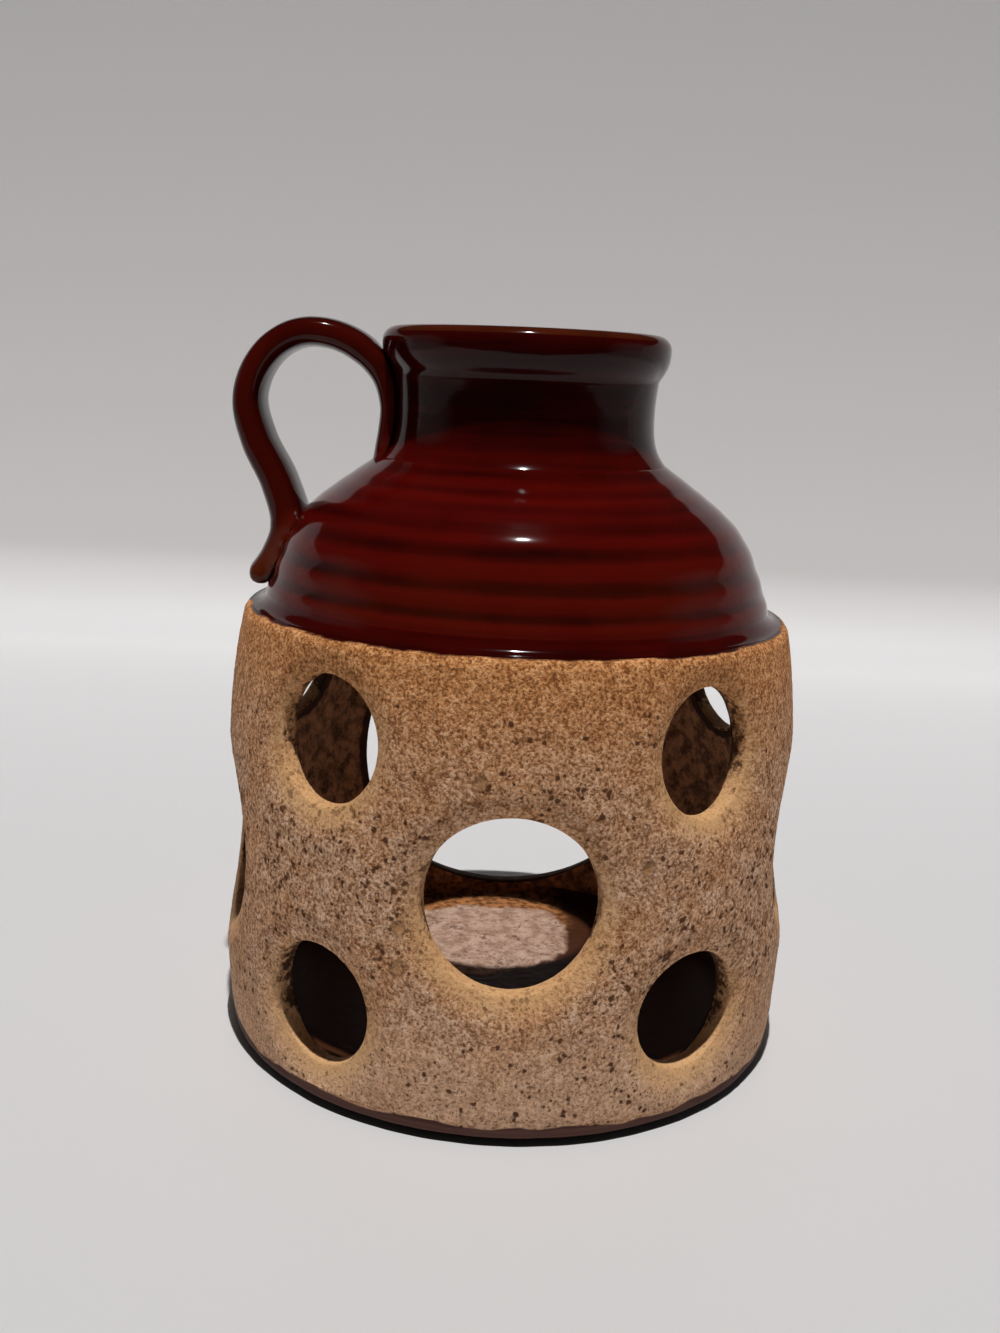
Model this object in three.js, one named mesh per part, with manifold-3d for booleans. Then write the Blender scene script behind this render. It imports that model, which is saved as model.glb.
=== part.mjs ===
// Pierced jug lantern in glazed stoneware, built up from clay pieces the way a potter makes it:
// a floor slab, a drum wall with cut holes, a thrown shoulder, a neck, a rolled rim and a pulled
// strap handle, each luted to the next. Millimetres, +Z up. The origin is the middle of the
// underside, the front faces -Y and the handle points along -X.

import * as THREE from 'three';
import { mergeVertices } from 'three/addons/utils/BufferGeometryUtils.js';
import Module from 'manifold-3d';

const wasm = await Module();
wasm.setup();

// Floor slab
const FOOT_RADIUS = 66.8;
const FLOOR_THICKNESS = 4.5;
const FOOT_ROUND = 1.6;

// Drum wall
const BELLY_RADIUS = 70.4;
const BELLY_HEIGHT = 71;
const DRUM_TOP_RADIUS = 67.8;
const DRUM_TOP = 101;
const DRUM_EDGE_ROUND = 1.6;
const DRUM_WALL = 6;

// Holes in the drum: rows of heights, and the wide opening at the back
const MIDDLE_ROW_HEIGHT = 50;
const UPPER_ROW_DROP = 21.6;
const UPPER_ROW_HEIGHT = DRUM_TOP - UPPER_ROW_DROP;
const LOWER_ROW_HEIGHT = 23.2;
const BACK_OPENING_HALF_DEGREES = 39;
const BACK_SILL = 3;
const BACK_LINTEL = 10.5;
const BACK_OPENING_HALF_HEIGHT = (DRUM_TOP - BACK_LINTEL - FLOOR_THICKNESS - BACK_SILL) / 2;
const DISH_WIDTH = 7.5;
const DISH_DEPTH = 2;

// Round holes, cut by hand and so each a little different: degrees round from the front, height
// of the middle, half width and half height
const ROUND_HOLES = [
  { degrees: 0.3, height: MIDDLE_ROW_HEIGHT + 0.2, halfWidth: 20, halfHeight: 18.3 },
  { degrees: -37.2, height: UPPER_ROW_HEIGHT - 0.2, halfWidth: 14.8, halfHeight: 14 },
  { degrees: 38.2, height: UPPER_ROW_HEIGHT + 0.2, halfWidth: 13.6, halfHeight: 14 },
  { degrees: -37, height: LOWER_ROW_HEIGHT - 0.9, halfWidth: 14, halfHeight: 13 },
  { degrees: 36.6, height: LOWER_ROW_HEIGHT + 1.1, halfWidth: 14.4, halfHeight: 12.4 },
  { degrees: -78.5, height: MIDDLE_ROW_HEIGHT - 6, halfWidth: 19.2, halfHeight: 18.6 },
  { degrees: 79.4, height: MIDDLE_ROW_HEIGHT, halfWidth: 18.6, halfHeight: 18.2 },
  { degrees: -115.6, height: UPPER_ROW_HEIGHT - 0.4, halfWidth: 14.2, halfHeight: 14.2 },
  { degrees: 115.6, height: UPPER_ROW_HEIGHT, halfWidth: 14.2, halfHeight: 14.2 },
  { degrees: -115, height: LOWER_ROW_HEIGHT, halfWidth: 13.6, halfHeight: 12.8 },
  { degrees: 115, height: LOWER_ROW_HEIGHT, halfWidth: 13.6, halfHeight: 12.8 },
];

// Shoulder dome
const COVE_RADIUS = 3.2;
const SHOULDER_BEND_RADIUS = 57;
const SHOULDER_BEND_RISE = 22.5;
const SHOULDER_BEND_HEIGHT = DRUM_TOP + SHOULDER_BEND_RISE;
const SHOULDER_RISE = 37;
const SHOULDER_WALL = 5.5;
const RIB_COUNT = 7;
const RIB_DEPTH = 0.3;

// Neck, built out from its bore and up from the shoulder
const BORE_RADIUS = 27.5;
const NECK_WALL = 5.7;
const NECK_FOOT_FLARE = 3.2;
const NECK_TOP_SWELL = 0.6;
const NECK_FOOT_RISE = 11;
const NECK_TOP_RISE = 9;
const NECK_WAIST_RADIUS = BORE_RADIUS + NECK_WALL;
const NECK_FOOT_RADIUS = NECK_WAIST_RADIUS + NECK_FOOT_FLARE;
const NECK_TOP_RADIUS = NECK_WAIST_RADIUS + NECK_TOP_SWELL;
const NECK_SEAT = DRUM_TOP + SHOULDER_RISE;
const NECK_WAIST_HEIGHT = NECK_SEAT + NECK_FOOT_RISE;

// Rim, built out and up from the top of the neck
const RIM_PROUD = 3;
const RIM_HEIGHT = 12.8;
const RIM_SEAT = NECK_WAIST_HEIGHT + NECK_TOP_RISE;
const RIM_RADIUS = NECK_TOP_RADIUS + RIM_PROUD;
const RIM_TOP = RIM_SEAT + RIM_HEIGHT;
const RIM_ROUND = 3.6;
const RIM_MOUTH_ROUND = 2;

// Strap handle, measured outward from the axis of the pot
const HANDLE_RISE = 1.6;
const HANDLE_TOP = RIM_TOP + HANDLE_RISE;
const HANDLE_CROWN = 54;
const HANDLE_REACH = 73.8;
const HANDLE_REACH_RISE = 1.4;
const HANDLE_REACH_HEIGHT = NECK_WAIST_HEIGHT + HANDLE_REACH_RISE;
const HANDLE_THICKNESS = 7.8;
const HANDLE_WIDTH = 19;
const HANDLE_ROOT_THICKNESS = 4.8;
const HANDLE_ROOT_RISE = 0.6;
const HANDLE_SEAT_RISE = 18.5;
const HANDLE_SEAT_HEIGHT = DRUM_TOP + HANDLE_SEAT_RISE;
const HANDLE_SEAT_THICKNESS = 9.2;
const HANDLE_PROUD = 5.6;
const TAIL_RISE = 4.4;
const TAIL_HEIGHT = DRUM_TOP + TAIL_RISE;
const TAIL_THICKNESS = 6;
const TAIL_FLICK = 0.6;

// Gap left where the handle is shaped to sit on the pot
const LUTE_GAP = 0.3;

// Facets
const ROUND_SIDES = 52;
const DRUM_SIDES = 92;
const DRUM_STEPS = 14;
const HOLE_SIDES = 22;
const BACK_OPENING_SIDES = 38;
const CAP_STEPS = 4;
const HANDLE_SECTION_SIDES = 16;
const HANDLE_STEPS = 32;
const RIB_STEPS = 3;
const EDGE_STEPS = 3;

const radians = THREE.MathUtils.degToRad;
const lerp = THREE.MathUtils.lerp;

// A point of a turned outline: distance from the axis, then height
function at(radius, height) {
  return new THREE.Vector2(radius, height);
}

// Points along an arc of an outline, both ends included
function arc(radius, height, size, fromDegrees, toDegrees) {
  const points = [];
  for (let step = 0; step <= EDGE_STEPS; step += 1) {
    const angle = radians(lerp(fromDegrees, toDegrees, step / EDGE_STEPS));
    points.push(at(radius + size * Math.cos(angle), height + size * Math.sin(angle)));
  }
  return points;
}

// Turn an outline about the upright axis; the outline runs up the outside and down the inside
function turned(outline, sides = ROUND_SIDES) {
  const geometry = new THREE.LatheGeometry(outline, sides);
  geometry.rotateX(Math.PI / 2);
  return geometry;
}

// A ring-shaped outline is closed by going back to its first point
function turnedRing(outline) {
  return turned([...outline, outline[0].clone()]);
}

// Closed solid from a geometry, with shared corners merged and collapsed triangles dropped
function solidFrom(geometry) {
  const bare = geometry.clone();
  bare.deleteAttribute('normal');
  bare.deleteAttribute('uv');
  const merged = mergeVertices(bare, 1e-4);
  const corners = merged.index.array;
  const triangles = [];
  for (let i = 0; i < corners.length; i += 3) {
    const [a, b, c] = [corners[i], corners[i + 1], corners[i + 2]];
    if (a !== b && b !== c && c !== a) triangles.push(a, b, c);
  }
  return new wasm.Manifold(new wasm.Mesh({
    numProp: 3,
    vertProperties: new Float32Array(merged.attributes.position.array),
    triVerts: new Uint32Array(triangles),
  }));
}

// Geometry with the vertices and triangles of a solid
function geometryFrom(solid) {
  const mesh = solid.getMesh();
  const geometry = new THREE.BufferGeometry();
  geometry.setAttribute('position', new THREE.BufferAttribute(mesh.vertProperties, 3));
  geometry.setIndex(new THREE.BufferAttribute(mesh.triVerts, 1));
  geometry.computeVertexNormals();
  return geometry;
}

// Outer radius of the drum: a cubic swell from the foot to the belly, then a parabola to the top
function drumRadius(height) {
  if (height < BELLY_HEIGHT) {
    const below = (BELLY_HEIGHT - height) / (BELLY_HEIGHT - FLOOR_THICKNESS);
    return BELLY_RADIUS - (BELLY_RADIUS - FOOT_RADIUS) * below ** 3;
  }
  const above = (height - BELLY_HEIGHT) / (DRUM_TOP - BELLY_HEIGHT);
  return BELLY_RADIUS - (BELLY_RADIUS - DRUM_TOP_RADIUS) * above ** 2;
}

// Outer radius of the neck: a waist with a flared foot and a slight swell under the rim
function neckRadius(height) {
  if (height < NECK_WAIST_HEIGHT) {
    const below = (NECK_WAIST_HEIGHT - height) / (NECK_WAIST_HEIGHT - NECK_SEAT);
    return NECK_WAIST_RADIUS + (NECK_FOOT_RADIUS - NECK_WAIST_RADIUS) * below ** 3;
  }
  const above = (height - NECK_WAIST_HEIGHT) / (RIM_SEAT - NECK_WAIST_HEIGHT);
  return NECK_WAIST_RADIUS + (NECK_TOP_RADIUS - NECK_WAIST_RADIUS) * above ** 2;
}

const SHOULDER_EDGE = DRUM_TOP_RADIUS - DRUM_EDGE_ROUND;
const SHOULDER_FOOT = at(SHOULDER_EDGE - COVE_RADIUS, DRUM_TOP + COVE_RADIUS);

// Smooth sweep of the shoulder from its foot to the neck
const shoulderSweep = new THREE.CubicBezierCurve(
  SHOULDER_FOOT,
  at(SHOULDER_BEND_RADIUS, SHOULDER_BEND_HEIGHT),
  at(SHOULDER_BEND_RADIUS, SHOULDER_BEND_HEIGHT),
  at(NECK_FOOT_RADIUS, NECK_SEAT),
);

// Point of the shoulder sweep, moved out square to the sweep
function shoulderPoint(share, outward) {
  const point = shoulderSweep.getPointAt(share);
  const along = shoulderSweep.getTangentAt(share);
  return at(point.x + along.y * outward, point.y - along.x * outward);
}

// Outer radius of the smooth shoulder at a height
function shoulderRadius(height) {
  let low = 0;
  let high = 1;
  for (let halving = 0; halving < 30; halving += 1) {
    const middle = (low + high) / 2;
    if (shoulderSweep.getPoint(middle).y < height) low = middle;
    else high = middle;
  }
  return shoulderSweep.getPoint(low).x;
}

// Outside of the shoulder, from the seat on the drum up the cove and over the throwing ribs
function shoulderOutside() {
  const outline = arc(SHOULDER_EDGE, DRUM_TOP + COVE_RADIUS, COVE_RADIUS, 270, 180);
  const steps = RIB_COUNT * RIB_STEPS;
  for (let step = 1; step < steps; step += 1) {
    const wave = Math.sin((step / RIB_STEPS) * 2 * Math.PI);
    outline.push(shoulderPoint(step / steps, (wave * RIB_DEPTH) / 2));
  }
  outline.push(at(NECK_FOOT_RADIUS, NECK_SEAT));
  return outline;
}

// Outside of the neck, between its seats on the shoulder and under the rim
function neckOutside() {
  const steps = 7;
  const outline = [];
  for (let step = 0; step <= steps; step += 1) {
    const height = lerp(NECK_SEAT, RIM_SEAT, step / steps);
    outline.push(at(neckRadius(height), height));
  }
  return outline;
}

// Outside of the rim, swelling from the neck to the rolled top edge
function rimOutside() {
  const turnHeight = RIM_TOP - RIM_ROUND;
  const swell = new THREE.CubicBezierCurve(
    at(NECK_TOP_RADIUS, RIM_SEAT),
    at(NECK_TOP_RADIUS, lerp(RIM_SEAT, turnHeight, 0.25)),
    at(RIM_RADIUS, lerp(RIM_SEAT, turnHeight, 0.35)),
    at(RIM_RADIUS, turnHeight),
  );
  const roll = arc(RIM_RADIUS - RIM_ROUND, turnHeight, RIM_ROUND, 0, 90);
  return [...swell.getPoints(5), ...roll.slice(1)];
}

// Floor slab: flat underside, rounded lower edge, flat top that the drum stands on
function floorSlab() {
  return turned([
    at(0, 0),
    ...arc(FOOT_RADIUS - FOOT_ROUND, FOOT_ROUND, FOOT_ROUND, 270, 360),
    at(FOOT_RADIUS, FLOOR_THICKNESS),
    at(0, FLOOR_THICKNESS),
  ]);
}

// Every hole with its facets: the round ones and the wide back opening
function drumHoles() {
  const backOpening = {
    degrees: 180,
    height: FLOOR_THICKNESS + BACK_SILL + BACK_OPENING_HALF_HEIGHT,
    halfWidth: BELLY_RADIUS * radians(BACK_OPENING_HALF_DEGREES),
    halfHeight: BACK_OPENING_HALF_HEIGHT,
    sides: BACK_OPENING_SIDES,
  };
  return [...ROUND_HOLES.map((hole) => ({ ...hole, sides: HOLE_SIDES })), backOpening];
}

// How far the outside of the wall sinks towards the holes near a spot on it
function dishDepth(holes, angle, height) {
  const depths = holes.map((hole) => {
    const turn = angle - radians(hole.degrees);
    const across = BELLY_RADIUS * Math.atan2(Math.sin(turn), Math.cos(turn));
    const reach = Math.hypot(across / hole.halfWidth, (height - hole.height) / hole.halfHeight);
    const past = THREE.MathUtils.clamp(((reach - 1) * hole.halfHeight) / DISH_WIDTH, 0, 1);
    return DISH_DEPTH * (1 - past) ** 2;
  });
  return Math.max(...depths);
}

// Filled outside of the drum, dished round the holes and rounded at the top edge
function drumOutside(holes) {
  const turnHeight = DRUM_TOP - DRUM_EDGE_ROUND;
  const outline = [at(0, FLOOR_THICKNESS)];
  for (let step = 0; step < DRUM_STEPS; step += 1) {
    const height = lerp(FLOOR_THICKNESS, turnHeight, step / DRUM_STEPS);
    outline.push(at(drumRadius(height), height));
  }
  outline.push(...arc(SHOULDER_EDGE, turnHeight, DRUM_EDGE_ROUND, 0, 90), at(0, DRUM_TOP));
  const geometry = turned(outline, DRUM_SIDES);
  const place = geometry.attributes.position;
  for (let i = 0; i < place.count; i += 1) {
    const [x, y, height] = [place.getX(i), place.getY(i), place.getZ(i)];
    const radius = Math.hypot(x, y);
    if (radius > SHOULDER_EDGE - DISH_DEPTH) {
      const kept = 1 - dishDepth(holes, Math.atan2(x, -y), height) / radius;
      place.setXYZ(i, x * kept, y * kept, height);
    }
  }
  return solidFrom(geometry);
}

// Filled inside of the drum, run past both ends so that it cuts clean through
function drumInside() {
  const insideSteps = 5;
  const inner = (height) => drumRadius(height) - DRUM_WALL;
  const outline = [at(0, 0), at(inner(FLOOR_THICKNESS), 0)];
  for (let step = 0; step <= insideSteps; step += 1) {
    const height = lerp(FLOOR_THICKNESS, DRUM_TOP, step / insideSteps);
    outline.push(at(inner(height), height));
  }
  outline.push(at(inner(DRUM_TOP), NECK_SEAT), at(0, NECK_SEAT));
  return solidFrom(turned(outline));
}

// Cutter for the straight throat of one hole, wrapped onto the wall
function holeCutter({ degrees, height, halfWidth, halfHeight, sides }) {
  const profile = [at(0, -DRUM_WALL * 2), at(halfHeight, -DRUM_WALL * 2)];
  for (let step = CAP_STEPS; step >= 0; step -= 1) {
    profile.push(at((halfHeight * step) / CAP_STEPS, DRUM_WALL / 2));
  }
  const geometry = new THREE.LatheGeometry(profile, sides, Math.PI / sides);
  const place = geometry.attributes.position;
  for (let i = 0; i < place.count; i += 1) {
    const level = height - place.getZ(i);
    const angle = radians(degrees) + (place.getX(i) * halfWidth) / halfHeight / BELLY_RADIUS;
    const radius = drumRadius(level) + place.getY(i);
    place.setXYZ(i, radius * Math.sin(angle), -radius * Math.cos(angle), level);
  }
  return solidFrom(geometry);
}

// Drum wall with every hole cut through it
function piercedDrum() {
  const holes = drumHoles();
  const cutters = holes.map(holeCutter).reduce((all, cutter) => all.add(cutter), drumInside());
  return geometryFrom(drumOutside(holes).subtract(cutters));
}

// Shoulder: ribbed outside, plain inside, flat seats at the drum and at the neck
function shoulderDome() {
  const outline = shoulderOutside();
  const insideSteps = 5;
  outline.push(at(BORE_RADIUS, NECK_SEAT));
  outline.push(at(BORE_RADIUS, shoulderPoint(1, -SHOULDER_WALL).y));
  for (let step = insideSteps; step >= 0; step -= 1) {
    outline.push(shoulderPoint(step / insideSteps, -SHOULDER_WALL));
  }
  outline.push(at(shoulderPoint(0, -SHOULDER_WALL).x, DRUM_TOP));
  return turnedRing(outline);
}

// Neck: a short flared tube with a straight bore
function neckCollar() {
  return turnedRing([...neckOutside(), at(BORE_RADIUS, RIM_SEAT), at(BORE_RADIUS, NECK_SEAT)]);
}

// Rim: the rolled lip round the mouth
function rimLip() {
  const mouth = arc(BORE_RADIUS + RIM_MOUTH_ROUND, RIM_TOP - RIM_MOUTH_ROUND, RIM_MOUTH_ROUND, 90, 180);
  return turnedRing([...rimOutside(), ...mouth, at(BORE_RADIUS, RIM_SEAT)]);
}

// Centre line of the strap as outward distance and height, with its thickness at each point
function handleLine() {
  const beside = (height) => neckRadius(height) + LUTE_GAP + HANDLE_ROOT_THICKNESS / 8;
  const root = beside(HANDLE_REACH_HEIGHT);
  const foot = NECK_SEAT + HANDLE_ROOT_RISE;
  const crest = HANDLE_TOP - HANDLE_THICKNESS / 2;
  const reach = HANDLE_REACH - HANDLE_THICKNESS / 2;
  const seat = shoulderRadius(HANDLE_SEAT_HEIGHT) + HANDLE_PROUD - HANDLE_SEAT_THICKNESS / 2;
  const tail = shoulderRadius(TAIL_HEIGHT) + HANDLE_PROUD + TAIL_FLICK - TAIL_THICKNESS / 2;
  const line = [{ out: beside(foot), height: foot, thickness: HANDLE_ROOT_THICKNESS }];
  const archSteps = 7;
  for (let step = 0; step <= archSteps; step += 1) {
    const angle = (Math.PI * step) / archSteps;
    const side = angle < Math.PI / 2 ? HANDLE_CROWN - root : reach - HANDLE_CROWN;
    line.push({
      out: HANDLE_CROWN - side * Math.cos(angle),
      height: HANDLE_REACH_HEIGHT + (crest - HANDLE_REACH_HEIGHT) * Math.sin(angle),
      thickness: lerp(HANDLE_ROOT_THICKNESS, HANDLE_THICKNESS, Math.min(1, step / 2)),
    });
  }
  for (const share of [0.32, 0.66, 1]) {
    line.push({
      out: lerp(reach, seat, THREE.MathUtils.smoothstep(share, 0, 1)),
      height: lerp(HANDLE_REACH_HEIGHT, HANDLE_SEAT_HEIGHT, share),
      thickness: lerp(HANDLE_THICKNESS, HANDLE_SEAT_THICKNESS, share),
    });
  }
  const knee = (HANDLE_SEAT_HEIGHT + TAIL_HEIGHT) / 2;
  const kneeOut = shoulderRadius(knee) + HANDLE_PROUD - HANDLE_THICKNESS / 2;
  line.push({ out: kneeOut, height: knee, thickness: HANDLE_THICKNESS });
  line.push({ out: tail, height: TAIL_HEIGHT, thickness: TAIL_THICKNESS });
  return line;
}

// One cross-section of the strap: a rounded oblong, broad across and thin along the loop
function strapSection(centre, outward, thickness) {
  const ring = [];
  const squareness = 0.62;
  for (let i = 0; i < HANDLE_SECTION_SIDES; i += 1) {
    const angle = (2 * Math.PI * (i + 0.5)) / HANDLE_SECTION_SIDES;
    const c = Math.cos(angle);
    const s = Math.sin(angle);
    const across = Math.sign(c) * Math.abs(c) ** squareness * (HANDLE_WIDTH / 2);
    const lift = Math.sign(s) * Math.abs(s) ** squareness * (thickness / 2);
    ring.push(centre.clone().addScaledVector(outward, lift).setY(across));
  }
  return ring;
}

// Closed surface through a row of rings, with a fan over each end
function loft(rings) {
  const sides = rings[0].length;
  const points = rings.flat();
  const index = [];
  for (let row = 0; row + 1 < rings.length; row += 1) {
    for (let i = 0; i < sides; i += 1) {
      const a = row * sides + i;
      const b = row * sides + ((i + 1) % sides);
      index.push(a, b, a + sides, b, b + sides, a + sides);
    }
  }
  for (const [row, flip] of [[0, true], [rings.length - 1, false]]) {
    const middle = points.length;
    const centre = rings[row].reduce((sum, point) => sum.add(point), new THREE.Vector3());
    points.push(centre.divideScalar(sides));
    for (let i = 0; i < sides; i += 1) {
      const a = row * sides + i;
      const b = row * sides + ((i + 1) % sides);
      index.push(...(flip ? [b, a, middle] : [a, b, middle]));
    }
  }
  const geometry = new THREE.BufferGeometry().setFromPoints(points);
  geometry.setIndex(index);
  return geometry;
}

// Outside of the shoulder, neck and rim grown by the lute gap and filled in to the axis
function potEnvelope() {
  const outline = [...shoulderOutside(), ...neckOutside().slice(1), ...rimOutside().slice(1)];
  const grown = outline.map((point, i) => {
    const before = outline[Math.max(i - 1, 0)];
    const after = outline[Math.min(i + 1, outline.length - 1)];
    const along = after.clone().sub(before).normalize();
    return at(point.x + along.y * LUTE_GAP, point.y - along.x * LUTE_GAP);
  });
  const first = grown[0];
  const last = grown[grown.length - 1];
  return solidFrom(turned([at(0, first.y), ...grown, at(0, last.y)]));
}

// Strap handle: swept along its line, then shaped to sit on the neck and the shoulder
function handleStrap() {
  const line = handleLine();
  const path = new THREE.CatmullRomCurve3(
    line.map(({ out, height }) => new THREE.Vector3(-out, 0, height)),
    false,
    'centripetal',
  );
  const rings = [];
  for (let step = 0; step <= HANDLE_STEPS; step += 1) {
    const share = step / HANDLE_STEPS;
    const spot = share * (line.length - 1);
    const from = Math.min(Math.floor(spot), line.length - 2);
    const thickness = lerp(line[from].thickness, line[from + 1].thickness, spot - from);
    const tangent = path.getTangent(share);
    const outward = new THREE.Vector3(-tangent.z, 0, tangent.x);
    rings.push(strapSection(path.getPoint(share), outward, thickness));
  }
  return geometryFrom(solidFrom(loft(rings)).subtract(potEnvelope()));
}

// Finishes
const lava = { color: 0x9c7b5c, roughness: 0.85, metalness: 0 };
const bareClay = { color: 0x4a3431, roughness: 0.9, metalness: 0 };
const redGlaze = { color: 0x5a1410, roughness: 0.15, metalness: 0 };

// One named piece of the pot
function piece(name, geometry, finish) {
  const mesh = new THREE.Mesh(geometry, new THREE.MeshStandardMaterial(finish));
  mesh.name = name;
  return mesh;
}

const lantern = new THREE.Group();
lantern.add(piece('floor_slab', floorSlab(), bareClay));
lantern.add(piece('pierced_drum', piercedDrum(), lava));
lantern.add(piece('shoulder_dome', shoulderDome(), redGlaze));
lantern.add(piece('neck_collar', neckCollar(), redGlaze));
lantern.add(piece('rim_lip', rimLip(), redGlaze));
lantern.add(piece('handle_strap', handleStrap(), redGlaze));

export default lantern;
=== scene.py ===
"""Dressed model of a pierced jug lantern: a rough sandy drum under a dark red glazed top.

Sizes are millimetres until a mesh is made. The pot stands on its middle at the origin, its
front hole faces -Y and its handle points along -X.
"""

import logging
import math
from dataclasses import dataclass, field
from enum import Enum
from typing import Any, Optional, Sequence, Union

import bpy
import numpy as np
from mathutils import Matrix, Vector, noise


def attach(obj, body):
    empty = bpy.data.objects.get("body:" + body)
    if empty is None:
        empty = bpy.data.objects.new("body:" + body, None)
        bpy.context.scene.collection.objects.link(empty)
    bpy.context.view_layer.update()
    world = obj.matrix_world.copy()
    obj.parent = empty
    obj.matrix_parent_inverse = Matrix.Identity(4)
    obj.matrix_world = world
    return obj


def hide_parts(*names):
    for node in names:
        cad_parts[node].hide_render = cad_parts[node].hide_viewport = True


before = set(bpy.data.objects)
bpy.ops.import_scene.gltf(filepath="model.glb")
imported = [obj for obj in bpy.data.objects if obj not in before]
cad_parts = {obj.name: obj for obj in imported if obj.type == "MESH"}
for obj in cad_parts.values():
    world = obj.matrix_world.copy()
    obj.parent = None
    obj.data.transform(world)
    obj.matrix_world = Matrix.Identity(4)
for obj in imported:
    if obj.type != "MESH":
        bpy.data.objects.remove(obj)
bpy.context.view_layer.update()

MM = 0.001
BODY = "root"
TURN = 2.0 * math.pi
CENTRE = (0.0, 0.0, 0.0)
CURVE_STEPS = 2000
LEAST_GAP = 1e-4
NOISE_MIDDLE = 0.5
SEED_SLANT = (1.0, 1.7, 0.6)

log = logging.getLogger("lantern")

Value = Union[float, Sequence[float], bpy.types.NodeSocket]
Span = tuple[float, float]
Triple = tuple[float, float, float]
Colour = tuple[float, float, float, float]


class Slot(Enum):
    """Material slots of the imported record."""

    CLAY = "bare_clay"
    LAVA = "lava_glaze"
    RED = "red_glaze"


class Paint(Enum):
    """Values painted on the vertices, read by the finishes."""

    # Golden glaze round the holes, with a painted highlight below each hole.
    LIP = "lip"
    # Painted shade in the hole throats and round the holes inside.
    THROAT = "throat"
    INSIDE = "inside"
    CRATER = "crater"
    POOL = "pool"
    THIN = "thin"


class Seed(Enum):
    """Stretches of noise, one for each kind of unevenness."""

    WALL_GRIT = 1.0
    WALL_LUMPS = 5.0
    WALL_SWELL = 9.0
    THROWING = 3.1
    FLOOR_GRIT = 21.0
    FLOOR_LUMPS = 27.0
    FOOT = 33.0
    STRAP = 41.0


Layer = tuple[float, float, Seed]


# Small helpers for shapes


def wave_noise(points: np.ndarray, size: float, seed: Seed) -> np.ndarray:
    """Give a smooth random value at each point.

    Args:
        points: Places in millimetres, one row each.
        size: Length of a bump in millimetres.
        seed: Stretch of the noise to take.

    Returns:
        One value from about -1 to 1 for each point.
    """
    shift = Vector([seed.value * part for part in SEED_SLANT])
    return np.array([noise.noise(Vector(point) / size + shift) for point in points])


def layered_noise(points: np.ndarray, layers: Sequence[Layer]) -> np.ndarray:
    """Add up layers of noise.

    Args:
        points: Places in millimetres, one row each.
        layers: Depth, length of a bump and stretch of noise of each layer.

    Returns:
        The sum at each point, in millimetres.
    """
    return sum(depth * wave_noise(points, size, seed) for depth, size, seed in layers)


def smooth_step(value: np.ndarray, low: float, high: float) -> np.ndarray:
    """Ease from 0 at low to 1 at high.

    Args:
        value: Values to ease.
        low: Value that gives 0.
        high: Value that gives 1.

    Returns:
        The eased values.
    """
    share = np.clip((value - low) / (high - low), 0.0, 1.0)
    return share * share * (3.0 - 2.0 * share)


def round_point(radius: np.ndarray, turn: np.ndarray, height: np.ndarray) -> np.ndarray:
    """Place points round the axis of the pot.

    Args:
        radius: Distance from the axis.
        turn: Angle from the front, in radians towards +X.
        height: Height above the foot.

    Returns:
        One row of x, y, z for each point.
    """
    return np.stack([radius * np.sin(turn), -radius * np.cos(turn), height], axis=-1)


def arc_outline(
    radius: float, height: float, size: float, start: float, stop: float, steps: int
) -> np.ndarray:
    """Points of an outline along an arc, both ends included.

    Args:
        radius: Distance of the arc's centre from the axis.
        height: Height of the arc's centre.
        size: Radius of the arc.
        start: First angle in degrees.
        stop: Last angle in degrees.
        steps: Number of steps along the arc.

    Returns:
        One row of radius and height for each point.
    """
    angle = np.radians(np.linspace(start, stop, steps + 1))
    return np.stack([radius + size * np.cos(angle), height + size * np.sin(angle)], axis=-1)


def bezier(corners: Sequence[Sequence[float]], steps: int) -> np.ndarray:
    """Points of a cubic curve at even steps of its own length.

    Args:
        corners: Start, two pulling points and end, each as radius and height.
        steps: Number of steps along the curve.

    Returns:
        One row of radius and height for each point.
    """
    start, pull_a, pull_b, end = (np.array(corner) for corner in corners)
    share = np.linspace(0.0, 1.0, CURVE_STEPS + 1)[:, None]
    rest = 1.0 - share
    pulled = 3 * rest**2 * share * pull_a
    curve = rest**3 * start + pulled + 3 * rest * share**2 * pull_b + share**3 * end
    run = np.concatenate([[0.0], np.cumsum(np.linalg.norm(np.diff(curve, axis=0), axis=1))])
    wanted = np.linspace(0.0, run[-1], steps + 1)
    return np.stack([np.interp(wanted, run, curve[:, axis]) for axis in (0, 1)], axis=-1)


def square_out(outline: np.ndarray) -> np.ndarray:
    """Directions square to an outline, pointing away from the clay.

    Args:
        outline: Points of an outline that runs up the outside.

    Returns:
        One unit direction for each point.
    """
    along = np.gradient(outline, axis=0)
    along /= np.linalg.norm(along, axis=1)[:, None]
    return np.stack([along[:, 1], -along[:, 0]], axis=-1)


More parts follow.
